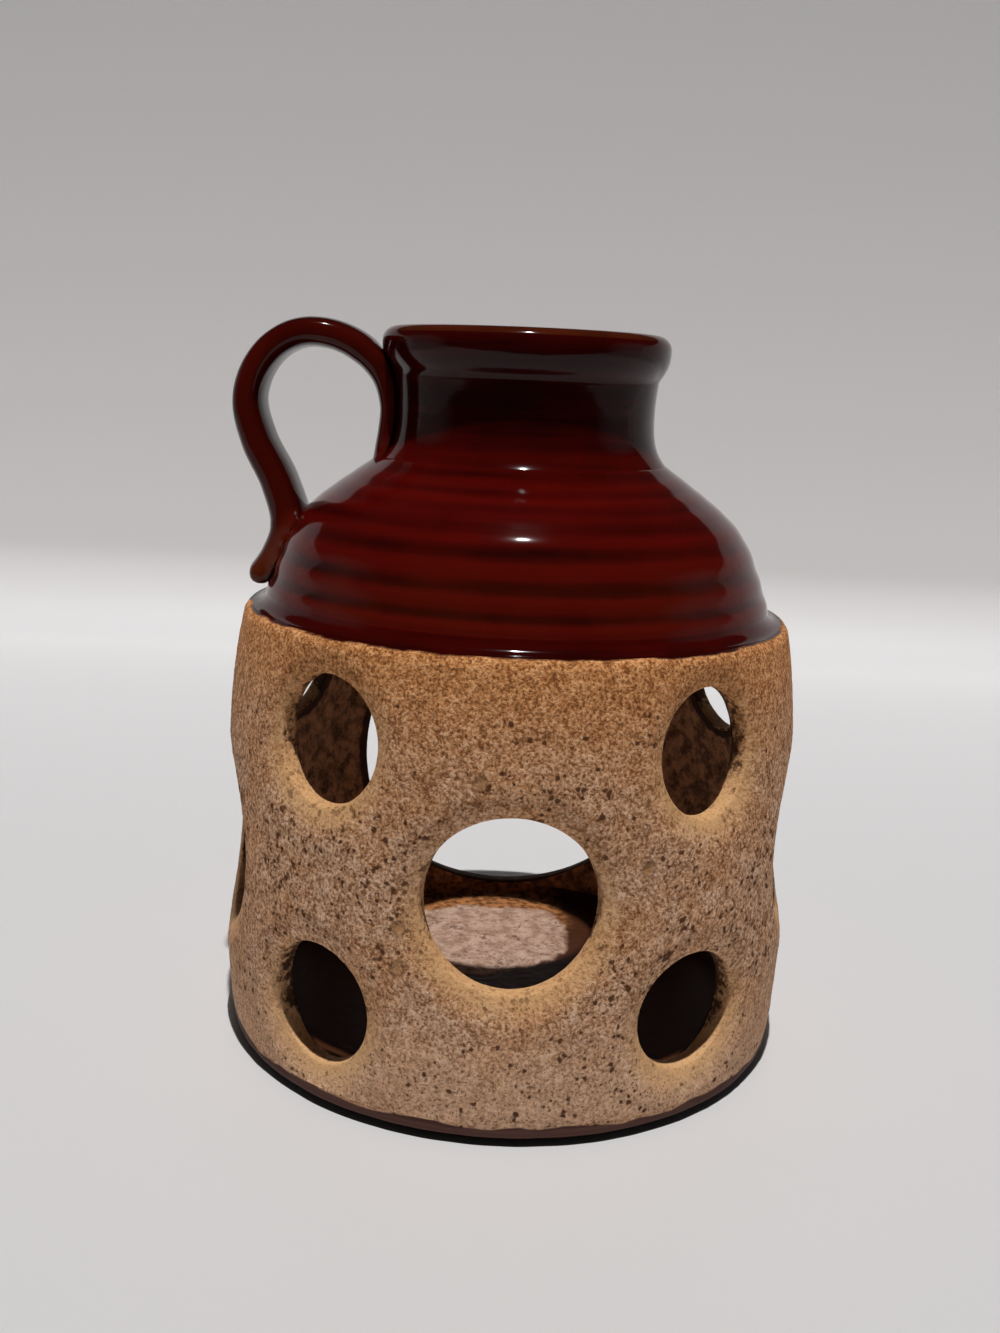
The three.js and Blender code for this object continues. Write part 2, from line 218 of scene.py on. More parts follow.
@dataclass
class Skin:
    """Closed surface of one piece while it is being built, in millimetres."""

    points: list[np.ndarray] = field(default_factory=list)
    faces: list[tuple[int, ...]] = field(default_factory=list)
    paints: dict[Paint, list[np.ndarray]] = field(default_factory=dict)
    count: int = 0

    def add_points(self, points: np.ndarray, **paints: Union[float, np.ndarray]) -> np.ndarray:
        """Add points with their painted values.

        Args:
            points: One row of x, y, z for each point.
            paints: Values for paints, named in lower case; the others are 0.

        Returns:
            The numbers of the new points.
        """
        size = len(points)
        for paint in Paint:
            given = paints.get(paint.value, 0.0)
            row = np.full(size, given) if np.isscalar(given) else np.asarray(given, dtype=float)
            self.paints.setdefault(paint, []).append(row)
        self.points.append(np.asarray(points, dtype=float))
        self.count += size
        return np.arange(self.count - size, self.count)

    def join_rings(self, lower: np.ndarray, upper: np.ndarray) -> None:
        """Join two rings of the same count with a strip of faces.

        Args:
            lower: Numbers of the points of the first ring.
            upper: Numbers of the points of the next ring.
        """
        size = len(lower)
        for i in range(size):
            after = (i + 1) % size
            self.faces.append((int(lower[i]), int(lower[after]), int(upper[after]), int(upper[i])))

    def all_points(self) -> np.ndarray:
        """Return every point as one array."""
        return np.concatenate(self.points)

    def to_object(
        self, name: str, points: np.ndarray, sharp_degrees: float = 50.0
    ) -> bpy.types.Object:
        """Make the Blender object.

        Args:
            name: Name of the piece.
            points: Final places of the points, in millimetres.
            sharp_degrees: Edges that turn more than this stay crisp.

        Returns:
            The new object, linked to the scene.
        """
        mesh = bpy.data.meshes.new(name)
        mesh.from_pydata((points * MM).tolist(), [], self.faces)
        mesh.polygons.foreach_set("use_smooth", [True] * len(mesh.polygons))
        mesh.set_sharp_from_angle(angle=math.radians(sharp_degrees))
        for paint, rows in self.paints.items():
            values = np.concatenate(rows).astype(np.float32)
            if values.any():
                layer = mesh.attributes.new(paint.value, "FLOAT", "POINT")
                layer.data.foreach_set("value", values)
        mesh.validate()
        mesh.update()
        piece = bpy.data.objects.new(name, mesh)
        bpy.context.scene.collection.objects.link(piece)
        return piece


def turned_skin(
    outline: np.ndarray, sides: int, paints: dict[str, np.ndarray], ring: bool = True
) -> Skin:
    """Turn an outline about the axis into a closed surface.

    Args:
        outline: Radius and height of each point, up the outside and down the inside.
        sides: Number of points round the pot.
        paints: Painted values along the outline, by paint name.
        ring: True for a ring; False when both ends lie on the axis.

    Returns:
        The closed surface.
    """
    skin = Skin()
    turn = np.arange(sides) * TURN / sides
    rings = []
    poles = [] if ring else [0, len(outline) - 1]
    for number, (radius, height) in enumerate(outline):
        values = {name: row[number] for name, row in paints.items()}
        spread = turn[:1] if number in poles else turn
        place = round_point(np.full(len(spread), radius), spread, np.full(len(spread), height))
        rings.append(skin.add_points(place, **values))
    for lower, upper in zip(rings, rings[1:]):
        if len(lower) == len(upper):
            skin.join_rings(lower, upper)
            continue
        for i in range(sides):
            after = (i + 1) % sides
            if len(lower) == 1:
                skin.faces.append((int(lower[0]), int(upper[after]), int(upper[i])))
            else:
                skin.faces.append((int(lower[i]), int(lower[after]), int(upper[0])))
    if ring:
        skin.join_rings(rings[-1], rings[0])
    return skin


# Sizes that the pieces share


@dataclass(frozen=True)
class PotSizes:
    """Sizes of the pot that more than one piece takes up, in millimetres."""

    foot_radius: float = 66.8
    floor_thickness: float = 4.5
    foot_round: float = 1.6
    belly_radius: float = 70.4
    belly_height: float = 71.0
    drum_top_radius: float = 67.8
    drum_top: float = 101.0
    drum_edge_round: float = 1.6
    drum_wall: float = 6.0
    cove_radius: float = 3.2
    bend_radius: float = 57.0
    bend_height: float = 123.5
    shoulder_wall: float = 5.5
    neck_seat: float = 138.0
    neck_foot_radius: float = 36.4
    neck_waist_radius: float = 33.2
    neck_waist_height: float = 149.0
    neck_top_radius: float = 33.8
    bore_radius: float = 27.5
    rim_seat: float = 158.0
    rim_radius: float = 36.8
    rim_top: float = 170.8
    rim_round: float = 3.6
    rim_pull_low: float = 0.25
    rim_pull_high: float = 0.35
    mouth_round: float = 2.0
    wobble: float = 0.16
    wobble_length: float = 30.0
    wobble_squash: float = 2.5
    wobble_fade: float = 6.0
    sides: int = 240
    sweep_trace: int = 200
    neck_trace: int = 40
    rim_trace: int = 20

    @property
    def shoulder_edge(self) -> float:
        """Return the radius where the shoulder's cove meets the drum's top edge."""
        return self.drum_top_radius - self.drum_edge_round

    def drum_radius(self, height: np.ndarray) -> np.ndarray:
        """Outer radius of the drum.

        Args:
            height: Heights above the foot.

        Returns:
            The radius at each height.
        """
        belly = self.belly_height
        below = np.clip((belly - height) / (belly - self.floor_thickness), 0.0, None)
        above = np.clip((height - belly) / (self.drum_top - belly), 0.0, None)
        lower = (self.belly_radius - self.foot_radius) * below**3
        upper = (self.belly_radius - self.drum_top_radius) * above**2
        return self.belly_radius - lower - upper

    def neck_radius(self, height: np.ndarray) -> np.ndarray:
        """Outer radius of the neck.

        Args:
            height: Heights between the neck's two seats.

        Returns:
            The radius at each height.
        """
        waist = self.neck_waist_height
        below = np.clip((waist - height) / (waist - self.neck_seat), 0.0, None)
        above = np.clip((height - waist) / (self.rim_seat - waist), 0.0, None)
        flare = (self.neck_foot_radius - self.neck_waist_radius) * below**3
        swell = (self.neck_top_radius - self.neck_waist_radius) * above**2
        return self.neck_waist_radius + flare + swell

    def shoulder_sweep(self, steps: int) -> np.ndarray:
        """Smooth outside of the shoulder above its cove.

        Args:
            steps: Number of steps along the sweep.

        Returns:
            One row of radius and height for each point.
        """
        bend = (self.bend_radius, self.bend_height)
        foot = (self.shoulder_edge - self.cove_radius, self.drum_top + self.cove_radius)
        return bezier([foot, bend, bend, (self.neck_foot_radius, self.neck_seat)], steps)

    def rim_outside(self, steps: int) -> np.ndarray:
        """Outside of the rim, from the neck to the rolled top.

        Args:
            steps: Number of steps along each of its two curves.

        Returns:
            One row of radius and height for each point.
        """
        turn_height = self.rim_top - self.rim_round
        rise = turn_height - self.rim_seat
        swell = bezier(
            [
                (self.neck_top_radius, self.rim_seat),
                (self.neck_top_radius, self.rim_seat + self.rim_pull_low * rise),
                (self.rim_radius, self.rim_seat + self.rim_pull_high * rise),
                (self.rim_radius, turn_height),
            ],
            steps,
        )
        roll_middle = self.rim_radius - self.rim_round
        roll = arc_outline(roll_middle, turn_height, self.rim_round, 0, 90, steps)
        return np.concatenate([swell, roll[1:]])

    def top_radius(self, height: np.ndarray) -> np.ndarray:
        """Outer radius of the glazed top, from the shoulder's foot to the rim.

        Args:
            height: Heights above the foot.

        Returns:
            The radius at each height.
        """
        sweep = self.shoulder_sweep(self.sweep_trace)
        neck = np.linspace(self.neck_seat, self.rim_seat, self.neck_trace)[1:]
        rim = self.rim_outside(self.rim_trace)[1:]
        heights = np.concatenate([sweep[:, 1], neck, rim[:, 1]])
        radii = np.concatenate([sweep[:, 0], self.neck_radius(neck), rim[:, 0]])
        return np.interp(height, heights, radii)

    def thrown_wobble(self, points: np.ndarray) -> np.ndarray:
        """Move points of the glazed top the little way that a thrown wall wanders.

        Args:
            points: Places in millimetres.

        Returns:
            The moved places.
        """
        squashed = points * np.array([1.0, 1.0, self.wobble_squash])
        drift = wave_noise(squashed, self.wobble_length, Seed.THROWING) * self.wobble
        fade = smooth_step(points[:, 2], self.drum_top, self.drum_top + self.wobble_fade)
        radius = np.maximum(np.hypot(points[:, 0], points[:, 1]), 1.0)
        moved = points.copy()
        moved[:, :2] *= (1.0 + drift * fade / radius)[:, None]
        return moved


# Shader nodes


@dataclass(frozen=True)
class Grain:
    """Settings of a noise texture: bumps in a millimetre, finer layers and their strength."""

    per_mm: float
    layers: float
    strength: float


@dataclass(frozen=True)
class Ease:
    """Smooth change from one result to another between two limits of a value."""

    low: float
    high: float
    to_low: float = 0.0
    to_high: float = 1.0


class NodeSheet:
    """Adds and links the nodes of one shader tree."""

    def __init__(self, tree: bpy.types.NodeTree) -> None:
        """Keep the tree that the nodes go into."""
        self.tree = tree

    def feed(self, socket: bpy.types.NodeSocket, value: Value) -> None:
        """Link a socket to another one, or set its value.

        Args:
            socket: Input to feed.
            value: Output of another node, or a plain value.
        """
        if isinstance(value, bpy.types.NodeSocket):
            self.tree.links.new(value, socket)
        else:
            socket.default_value = value

    def add(
        self, kind: str, feeds: Optional[dict[Any, Value]] = None, **settings: Any
    ) -> bpy.types.Node:
        """Add a node.

        Args:
            kind: Blender's name of the node type.
            feeds: Values or links by input name or number.
            settings: Properties of the node.

        Returns:
            The new node.
        """
        node = self.tree.nodes.new(kind)
        for name, setting in settings.items():
            setattr(node, name, setting)
        for key, value in (feeds or {}).items():
            self.feed(node.inputs[key], value)
        return node

    def math(
        self, operation: str, first: Value, second: Value = 0.0, clamp: bool = False
    ) -> bpy.types.NodeSocket:
        """Add a Math node.

        Args:
            operation: Name of the sum.
            first: First value.
            second: Second value.
            clamp: Whether the result stays between 0 and 1.

        Returns:
            The result.
        """
        feeds = {0: first, 1: second}
        node = self.add("ShaderNodeMath", feeds, operation=operation, use_clamp=clamp)
        return node.outputs[0]

    def plus(self, first: Value, second: Value) -> bpy.types.NodeSocket:
        """Add two values."""
        return self.math("ADD", first, second)

    def minus(self, first: Value, second: Value) -> bpy.types.NodeSocket:
        """Take the second value from the first."""
        return self.math("SUBTRACT", first, second)

    def times(self, first: Value, second: Value) -> bpy.types.NodeSocket:
        """Multiply two values."""
        return self.math("MULTIPLY", first, second)

    def step(self, value: Value, ease: Ease) -> bpy.types.NodeSocket:
        """Ease a value between two limits.

        Args:
            value: Value to ease.
            ease: The limits and what they give.

        Returns:
            The eased value.
        """
        feeds = {
            "Value": value,
            "From Min": ease.low,
            "From Max": ease.high,
            "To Min": ease.to_low,
            "To Max": ease.to_high,
        }
        node = self.add("ShaderNodeMapRange", feeds, interpolation_type="SMOOTHSTEP")
        return node.outputs["Result"]

    def mix(
        self, share: Value, first: Value, second: Value, blend: str = "MIX"
    ) -> bpy.types.NodeSocket:
        """Mix two colours.

        Args:
            share: How much of the second colour shows.
            first: First colour.
            second: Second colour.
            blend: Way of mixing.

        Returns:
            The mixed colour.
        """
        feeds = {0: share, 6: first, 7: second}
        node = self.add("ShaderNodeMix", feeds, data_type="RGBA", blend_type=blend)
        return node.outputs[2]

    def noise(self, place: Value, grain: Grain) -> bpy.types.NodeSocket:
        """Add a noise texture.

        Args:
            place: Where the noise is read.
            grain: Its settings.

        Returns:
            The noise value, about 0 to 1.
        """
        feeds = {
            "Vector": place,
            "Scale": grain.per_mm,
            "Detail": grain.layers,
            "Roughness": grain.strength,
        }
        return self.add("ShaderNodeTexNoise", feeds).outputs["Fac"]

    def stretch(self, place: Value, factors: Sequence[float]) -> bpy.types.NodeSocket:
        """Scale a place along each axis.

        Args:
            place: Place to scale.
            factors: Factor for x, y and z.

        Returns:
            The scaled place.
        """
        node = self.add("ShaderNodeVectorMath", {0: place, 1: factors}, operation="MULTIPLY")
        return node.outputs[0]

    def away(self, place: Value, middle: Sequence[float]) -> bpy.types.NodeSocket:
        """Measure how far a place lies from a fixed point.

        Args:
            place: Place to measure.
            middle: Fixed point.

        Returns:
            The distance.
        """
        node = self.add("ShaderNodeVectorMath", {0: place, 1: middle}, operation="DISTANCE")
        return node.outputs["Value"]

    def height_of(self, place: Value) -> bpy.types.NodeSocket:
        """Return the height part of a place."""
        return self.add("ShaderNodeSeparateXYZ", {0: place}).outputs["Z"]

    def ramp(
        self, value: Value, stops: Sequence[tuple[float, Sequence[float]]]
    ) -> bpy.types.NodeSocket:
        """Add a colour ramp.

        Args:
            value: Value from 0 to 1.
            stops: Place and colour of each stop, in order.

        Returns:
            The colour.
        """
        node = self.add("ShaderNodeValToRGB", {0: value})
        bar = node.color_ramp.elements
        while len(bar) < len(stops):
            bar.new(0.5)
        for element, (place, colour) in zip(bar, stops):
            element.position = place
            element.color = colour
        return node.outputs["Color"]

    def paint(self, paint: Paint) -> bpy.types.NodeSocket:
        """Return the value painted on the vertices."""
        return self.add("ShaderNodeAttribute", attribute_name=paint.value).outputs["Fac"]

    def place(self) -> bpy.types.NodeSocket:
        """Return the place on the piece, in millimetres."""
        source = self.add("ShaderNodeTexCoord").outputs["Object"]
        return self.stretch(source, (1.0 / MM,) * 3)


def new_group(
    name: str, inputs: dict[str, str], outputs: dict[str, str]
) -> tuple[NodeSheet, dict, dict]:
    """Start a shader node group.

    Args:
        name: Name of the group.
        inputs: Socket type by input name.
        outputs: Socket type by output name.

    Returns:
        The sheet for its nodes, its input values by name and its output sockets by name.
    """
    tree = bpy.data.node_groups.new(name, "ShaderNodeTree")
    for way, sockets in (("INPUT", inputs), ("OUTPUT", outputs)):
        for title, kind in sockets.items():
            tree.interface.new_socket(title, in_out=way, socket_type=kind)
    sheet = NodeSheet(tree)
    source = sheet.add("NodeGroupInput")
    target = sheet.add("NodeGroupOutput")
    given = {key: source.outputs[key] for key in inputs}
    return sheet, given, {key: target.inputs[key] for key in outputs}


FLOAT = "NodeSocketFloat"
COLOUR = "NodeSocketColor"
VECTOR = "NodeSocketVector"


@dataclass(frozen=True)
class LavaCoat:
    """Rough sandy glaze: speckled brown and tan, dark pits, golden where it rolls over an edge."""

    ochre: tuple[Colour, ...] = (
        (0.250, 0.086, 0.024, 1),
        (0.640, 0.288, 0.114, 1),
        (0.930, 0.520, 0.270, 1),
    )
    sand: tuple[Colour, ...] = (
        (0.230, 0.096, 0.038, 1),
        (0.650, 0.362, 0.205, 1),
        (0.960, 0.650, 0.450, 1),
    )
    rust: Colour = (1.0, 0.90, 0.72, 1)
    pale: Colour = (0.860, 0.560, 0.370, 1)
    speck: Colour = (0.150, 0.056, 0.020, 1)
    pit: Colour = (0.112, 0.040, 0.015, 1)
    gold: Colour = (0.690, 0.392, 0.170, 1)
    tone_stops: Triple = (0.38, 0.50, 0.615)
    grain: Grain = Grain(1.30, 3.0, 0.64)
    grain_share: float = 0.68
    crumb: Grain = Grain(0.42, 3.0, 0.60)
    crumb_share: float = 0.32
    patches: Grain = Grain(0.060, 3.0, 0.6)
    patch_ease: Ease = Ease(0.38, 0.60, 0.45, 1.0)
    sand_heights: Ease = Ease(97.0, 60.0)
    rust_heights: Ease = Ease(82.0, 100.0, 0.0, 0.8)
    pale_heights: Ease = Ease(32.0, 8.0, 0.0, 0.42)
    lip_calm: float = 0.62
    specks: Grain = Grain(1.85, 2.0, 0.6)
    speck_ease: Ease = Ease(0.44, 0.34)
    speck_share: float = 0.72
    speck_depth: float = 0.20
    pit_cells: float = 0.72
    pit_clusters: Grain = Grain(0.085, 2.0, 0.5)
    cluster_ease: Ease = Ease(0.42, 0.60, 0.08, 0.85)
    pit_heights: Ease = Ease(12.0, 40.0, 0.45, 1.0)
    pit_ragged: float = 2.0
    pit_ease: Ease = Ease(1.42, 1.16)
    pit_share: float = 0.95
    pit_depth: float = 0.55
    gold_ease: Ease = Ease(0.38, 0.56, 0.50, 1.0)
    roughness: Ease = Ease(0.2, 1.0, 0.95, 0.78)
    tone_rise: float = 1.1
    name: str = "lava_coat"

    def pits(
        self, sheet: NodeSheet, place: Value, height: Value, crumb: Value, crowd: Value
    ) -> bpy.types.NodeSocket:
        """Mask of the dark pits, which come in clusters and are fewer near the foot.

        Args:
            sheet: Sheet of the group.
            place: Place on the piece.
            height: Height above the foot.
            crumb: Noise that makes the pits ragged.
            crowd: How crowded the pits are.

        Returns:
            A value from 0 to 1.
        """
        feeds = {"Vector": place, "Scale": self.pit_cells, "Randomness": 1.0}
        cells = sheet.add("ShaderNodeTexVoronoi", feeds)
        chosen = sheet.add("ShaderNodeSeparateColor", {0: cells.outputs["Color"]}).outputs[0]
        cluster = sheet.step(sheet.noise(place, self.pit_clusters), self.cluster_ease)
        crowd = sheet.times(sheet.times(cluster, crowd), sheet.step(height, self.pit_heights))
        picked = sheet.math("LESS_THAN", chosen, crowd)
        ragged = sheet.plus(cells.outputs["Distance"], sheet.times(crumb, self.pit_ragged))
        return sheet.times(sheet.step(ragged, self.pit_ease), picked)

    def group(self) -> bpy.types.NodeTree:
        """Build the glaze as a node group once.

        Returns:
            The group; it puts out a colour, a roughness and a height.
        """
        if self.name in bpy.data.node_groups:
            return bpy.data.node_groups[self.name]
        inputs = {"Place": VECTOR, "Lip": FLOAT, "Pitting": FLOAT}
        outputs = {"Color": COLOUR, "Roughness": FLOAT, "Height": FLOAT}
        sheet, given, result = new_group(self.name, inputs, outputs)
        place, lip = given["Place"], given["Lip"]
        height = sheet.height_of(place)
        grain = sheet.times(sheet.noise(place, self.grain), self.grain_share)
        crumb = sheet.noise(place, self.crumb)
        tone = sheet.plus(grain, sheet.times(crumb, self.crumb_share))
        upper = sheet.ramp(tone, list(zip(self.tone_stops, self.ochre)))
        lower = sheet.ramp(tone, list(zip(self.tone_stops, self.sand)))
        patch = sheet.step(sheet.noise(place, self.patches), self.patch_ease)
        sandy = sheet.times(sheet.step(height, self.sand_heights), patch)
        ground = sheet.mix(sandy, upper, lower)
        ground = sheet.mix(sheet.step(height, self.rust_heights), ground, self.rust, "MULTIPLY")
        ground = sheet.mix(sheet.step(height, self.pale_heights), ground, self.pale)
        calm = sheet.minus(1.0, sheet.times(lip, self.lip_calm))
        specks = sheet.step(sheet.noise(place, self.specks), self.speck_ease)
        specks = sheet.times(specks, calm)
        crowd = sheet.times(sandy, given["Pitting"])
        pits = sheet.times(self.pits(sheet, place, height, crumb, crowd), calm)
        # The lip value brings the golden glaze and its painted highlight below the holes.
        gold = sheet.times(lip, sheet.step(tone, self.gold_ease))
        colour = sheet.mix(gold, ground, self.gold)
        colour = sheet.mix(sheet.times(specks, self.speck_share), colour, self.speck)
        colour = sheet.mix(sheet.times(pits, self.pit_share), colour, self.pit)
        sheet.feed(result["Color"], colour)
        sheet.feed(result["Roughness"], sheet.step(lip, self.roughness))
        low = sheet.plus(sheet.times(specks, self.speck_depth), sheet.times(pits, self.pit_depth))
        relief = sheet.times(tone, sheet.times(calm, self.tone_rise))
        sheet.feed(result["Height"], sheet.minus(relief, low))
        return sheet.tree


@dataclass(frozen=True)
class RedCoat:
    """Dark red glaze: nearly black where it pools, redder on ridges, amber where it is thin."""

    pooled: Colour = (0.0200, 0.0010, 0.0007, 1)
    full: Colour = (0.0880, 0.0026, 0.0013, 1)
    amber: Colour = (0.1500, 0.0340, 0.0080, 1)
    ring_stretch: Triple = (0.014, 0.014, 0.30)
    rings: Grain = Grain(1.0, 3.0, 0.65)
    ring_height: float = 0.35
    clouds: Grain = Grain(0.055, 3.0, 0.55)
    cloud_share: float = 0.8
    fleck_ease: Ease = Ease(0.30, 0.62, 0.35, 1.0)
    ripples: Grain = Grain(0.11, 2.0, 0.4)
    name: str = "red_coat"

    def group(self) -> bpy.types.NodeTree:
        """Build the glaze as a node group once.

        Returns:
            The group; it puts out a colour and a height.
        """
        if self.name in bpy.data.node_groups:
            return bpy.data.node_groups[self.name]
        inputs = {"Place": VECTOR, "Pool": FLOAT, "Thin": FLOAT, "Rings": FLOAT}
        sheet, given, result = new_group(self.name, inputs, {"Color": COLOUR, "Height": FLOAT})
        place = given["Place"]
        rings = sheet.noise(sheet.stretch(place, self.ring_stretch), self.rings)
        cloud = sheet.noise(place, self.clouds)
        lift = sheet.times(sheet.minus(rings, NOISE_MIDDLE), given["Rings"])
        drift = sheet.times(sheet.minus(cloud, NOISE_MIDDLE), self.cloud_share)
        depth = sheet.math("SUBTRACT", given["Pool"], sheet.plus(lift, drift), clamp=True)
        colour = sheet.mix(depth, self.full, self.pooled)
        fleck = sheet.times(given["Thin"], sheet.step(cloud, self.fleck_ease))
        sheet.feed(result["Color"], sheet.mix(fleck, colour, self.amber))
        ripple = sheet.noise(place, self.ripples)
        sheet.feed(result["Height"], sheet.plus(ripple, sheet.times(rings, self.ring_height)))
        return sheet.tree


LAVA = LavaCoat()
RED = RedCoat()


@dataclass(frozen=True)
class Finish:
    """Start of a finish: a Principled shader with a bump, and its slot in the record."""

    name: str
    slot: Slot
    bump_mm: float
    shine: float = 0.2
    refraction: float = 1.5

    def begin(self) -> tuple[bpy.types.Material, NodeSheet, bpy.types.Node]:
        """Make the material.

        Returns:
            The material, the sheet for its nodes and its Principled shader.
        """
        material = bpy.data.materials.new(self.name)
        material.use_nodes = True
        material.node_tree.nodes.clear()
        sheet = NodeSheet(material.node_tree)
        feeds = {"IOR": self.refraction, "Specular IOR Level": self.shine}
        shader = sheet.add("ShaderNodeBsdfPrincipled", feeds)
        sheet.add("ShaderNodeOutputMaterial", {"Surface": shader.outputs["BSDF"]})
        return material, sheet, shader

    def material(self) -> bpy.types.Material:
        """Build the material; each kind of finish has its own way."""
        raise NotImplementedError

    def coat(
        self, sheet: NodeSheet, group: bpy.types.NodeTree, feeds: dict[str, Value]
    ) -> bpy.types.Node:
        """Add a glaze group to the material.

        Args:
            sheet: Sheet of the material.
            group: Node group of the glaze.
            feeds: Values or links by input name.

        Returns:
            The group node.
        """
        return sheet.add("ShaderNodeGroup", feeds, node_tree=group)

    def bump(self, sheet: NodeSheet, shader: bpy.types.Node, height: Value) -> None:
        """Give the shader its relief.

        Args:
            sheet: Sheet of the material.
            shader: Its Principled shader.
            height: Relief value.
        """
        feeds = {"Strength": 1.0, "Distance": self.bump_mm * MM, "Height": height}
        sheet.feed(shader.inputs["Normal"], sheet.add("ShaderNodeBump", feeds).outputs["Normal"])


@dataclass(frozen=True)
class LavaFinish(Finish):
    """Sandy glaze of the drum, with painted shade in the hole throats, and dark inside."""

    # Dark brown of the painted shade in the throats; the crater rims take it too.
    throat: Colour = (0.052, 0.018, 0.0075, 1)
    inside_dark: Colour = (0.110, 0.038, 0.013, 1)
    inside_pale: Colour = (0.640, 0.280, 0.120, 1)
    crater: Colour = (0.48, 0.245, 0.105, 1)
    crater_share: float = 0.85
    crater_rim: tuple[Ease, Ease] = (Ease(0.02, 0.30, 0.0, 0.4), Ease(0.45, 0.85, 0.0, 0.4))
    inside_clouds: Grain = Grain(0.30, 4.0, 0.65)
    inside_ease: Ease = Ease(0.36, 0.64)
    inside_share: float = 0.88
    # Ragged edge and start of the painted shade in the throats.
    shade_noise: Grain = Grain(0.60, 3.0, 0.6)
    shade_wander: float = 0.9
    shade_ease: Ease = Ease(0.62, 0.86)
    shade_start: Ease = Ease(0.02, 0.15, 0.0, 0.95)
    edge_pool: float = 0.9
    edge_rings: float = 0.3
    edge_noise: Grain = Grain(0.10, 3.0, 0.6)
    edge_wander: float = 1.6
    edge_height: float = 101.3
    edge_soft: float = 0.5
    gloss: float = 0.28

    def throat_shade(self, sheet: NodeSheet, place: Value) -> bpy.types.NodeSocket:
        """Mask of the painted shade in the hole throats, with a ragged edge.

        Args:
            sheet: Sheet of the material.
            place: Place on the piece.

        Returns:
            A value from 0 to 1.
        """
        throat = sheet.paint(Paint.THROAT)
        ragged = sheet.times(sheet.noise(place, self.shade_noise), self.shade_wander)
        throat_darkening = sheet.step(sheet.plus(throat, ragged), self.shade_ease)
        return sheet.times(throat_darkening, sheet.step(throat, self.shade_start))

    def material(self) -> bpy.types.Material:
        """Build the material.

        Returns:
            The finished material.
        """
        material, sheet, shader = self.begin()
        place = sheet.place()
        feeds = {"Place": place, "Lip": sheet.paint(Paint.LIP), "Pitting": 1.0}
        coat = self.coat(sheet, LAVA.group(), feeds)
        crater = sheet.paint(Paint.CRATER)
        floor = sheet.times(crater, self.crater_share)
        colour = sheet.mix(floor, coat.outputs["Color"], self.crater)
        ring = sheet.minus(*(sheet.step(crater, ease) for ease in self.crater_rim))
        colour = sheet.mix(ring, colour, self.throat)
        cloud = sheet.step(sheet.noise(place, self.inside_clouds), self.inside_ease)
        inner = sheet.mix(cloud, self.inside_dark, self.inside_pale)
        inside = sheet.times(sheet.paint(Paint.INSIDE), self.inside_share)
        colour = sheet.mix(inside, colour, inner)
        # Painted shade in the throats and round the holes inside.
        colour = sheet.mix(self.throat_shade(sheet, place), colour, self.throat)
        feeds = {"Place": place, "Pool": self.edge_pool, "Thin": 0.0, "Rings": self.edge_rings}
        red = self.coat(sheet, RED.group(), feeds)
        wander = sheet.times(sheet.noise(place, self.edge_noise), self.edge_wander)
        level = sheet.plus(sheet.height_of(place), wander)
        over = sheet.step(level, Ease(self.edge_height, self.edge_height + self.edge_soft))
        sheet.feed(shader.inputs["Base Color"], sheet.mix(over, colour, red.outputs["Color"]))
        rough = sheet.step(over, Ease(0.0, 1.0, 1.0, self.gloss))
        rough = sheet.times(rough, coat.outputs["Roughness"])
        sheet.feed(shader.inputs["Roughness"], rough)
        bare = sheet.minus(1.0, over)
        self.bump(sheet, shader, sheet.times(coat.outputs["Height"], bare))
        return material


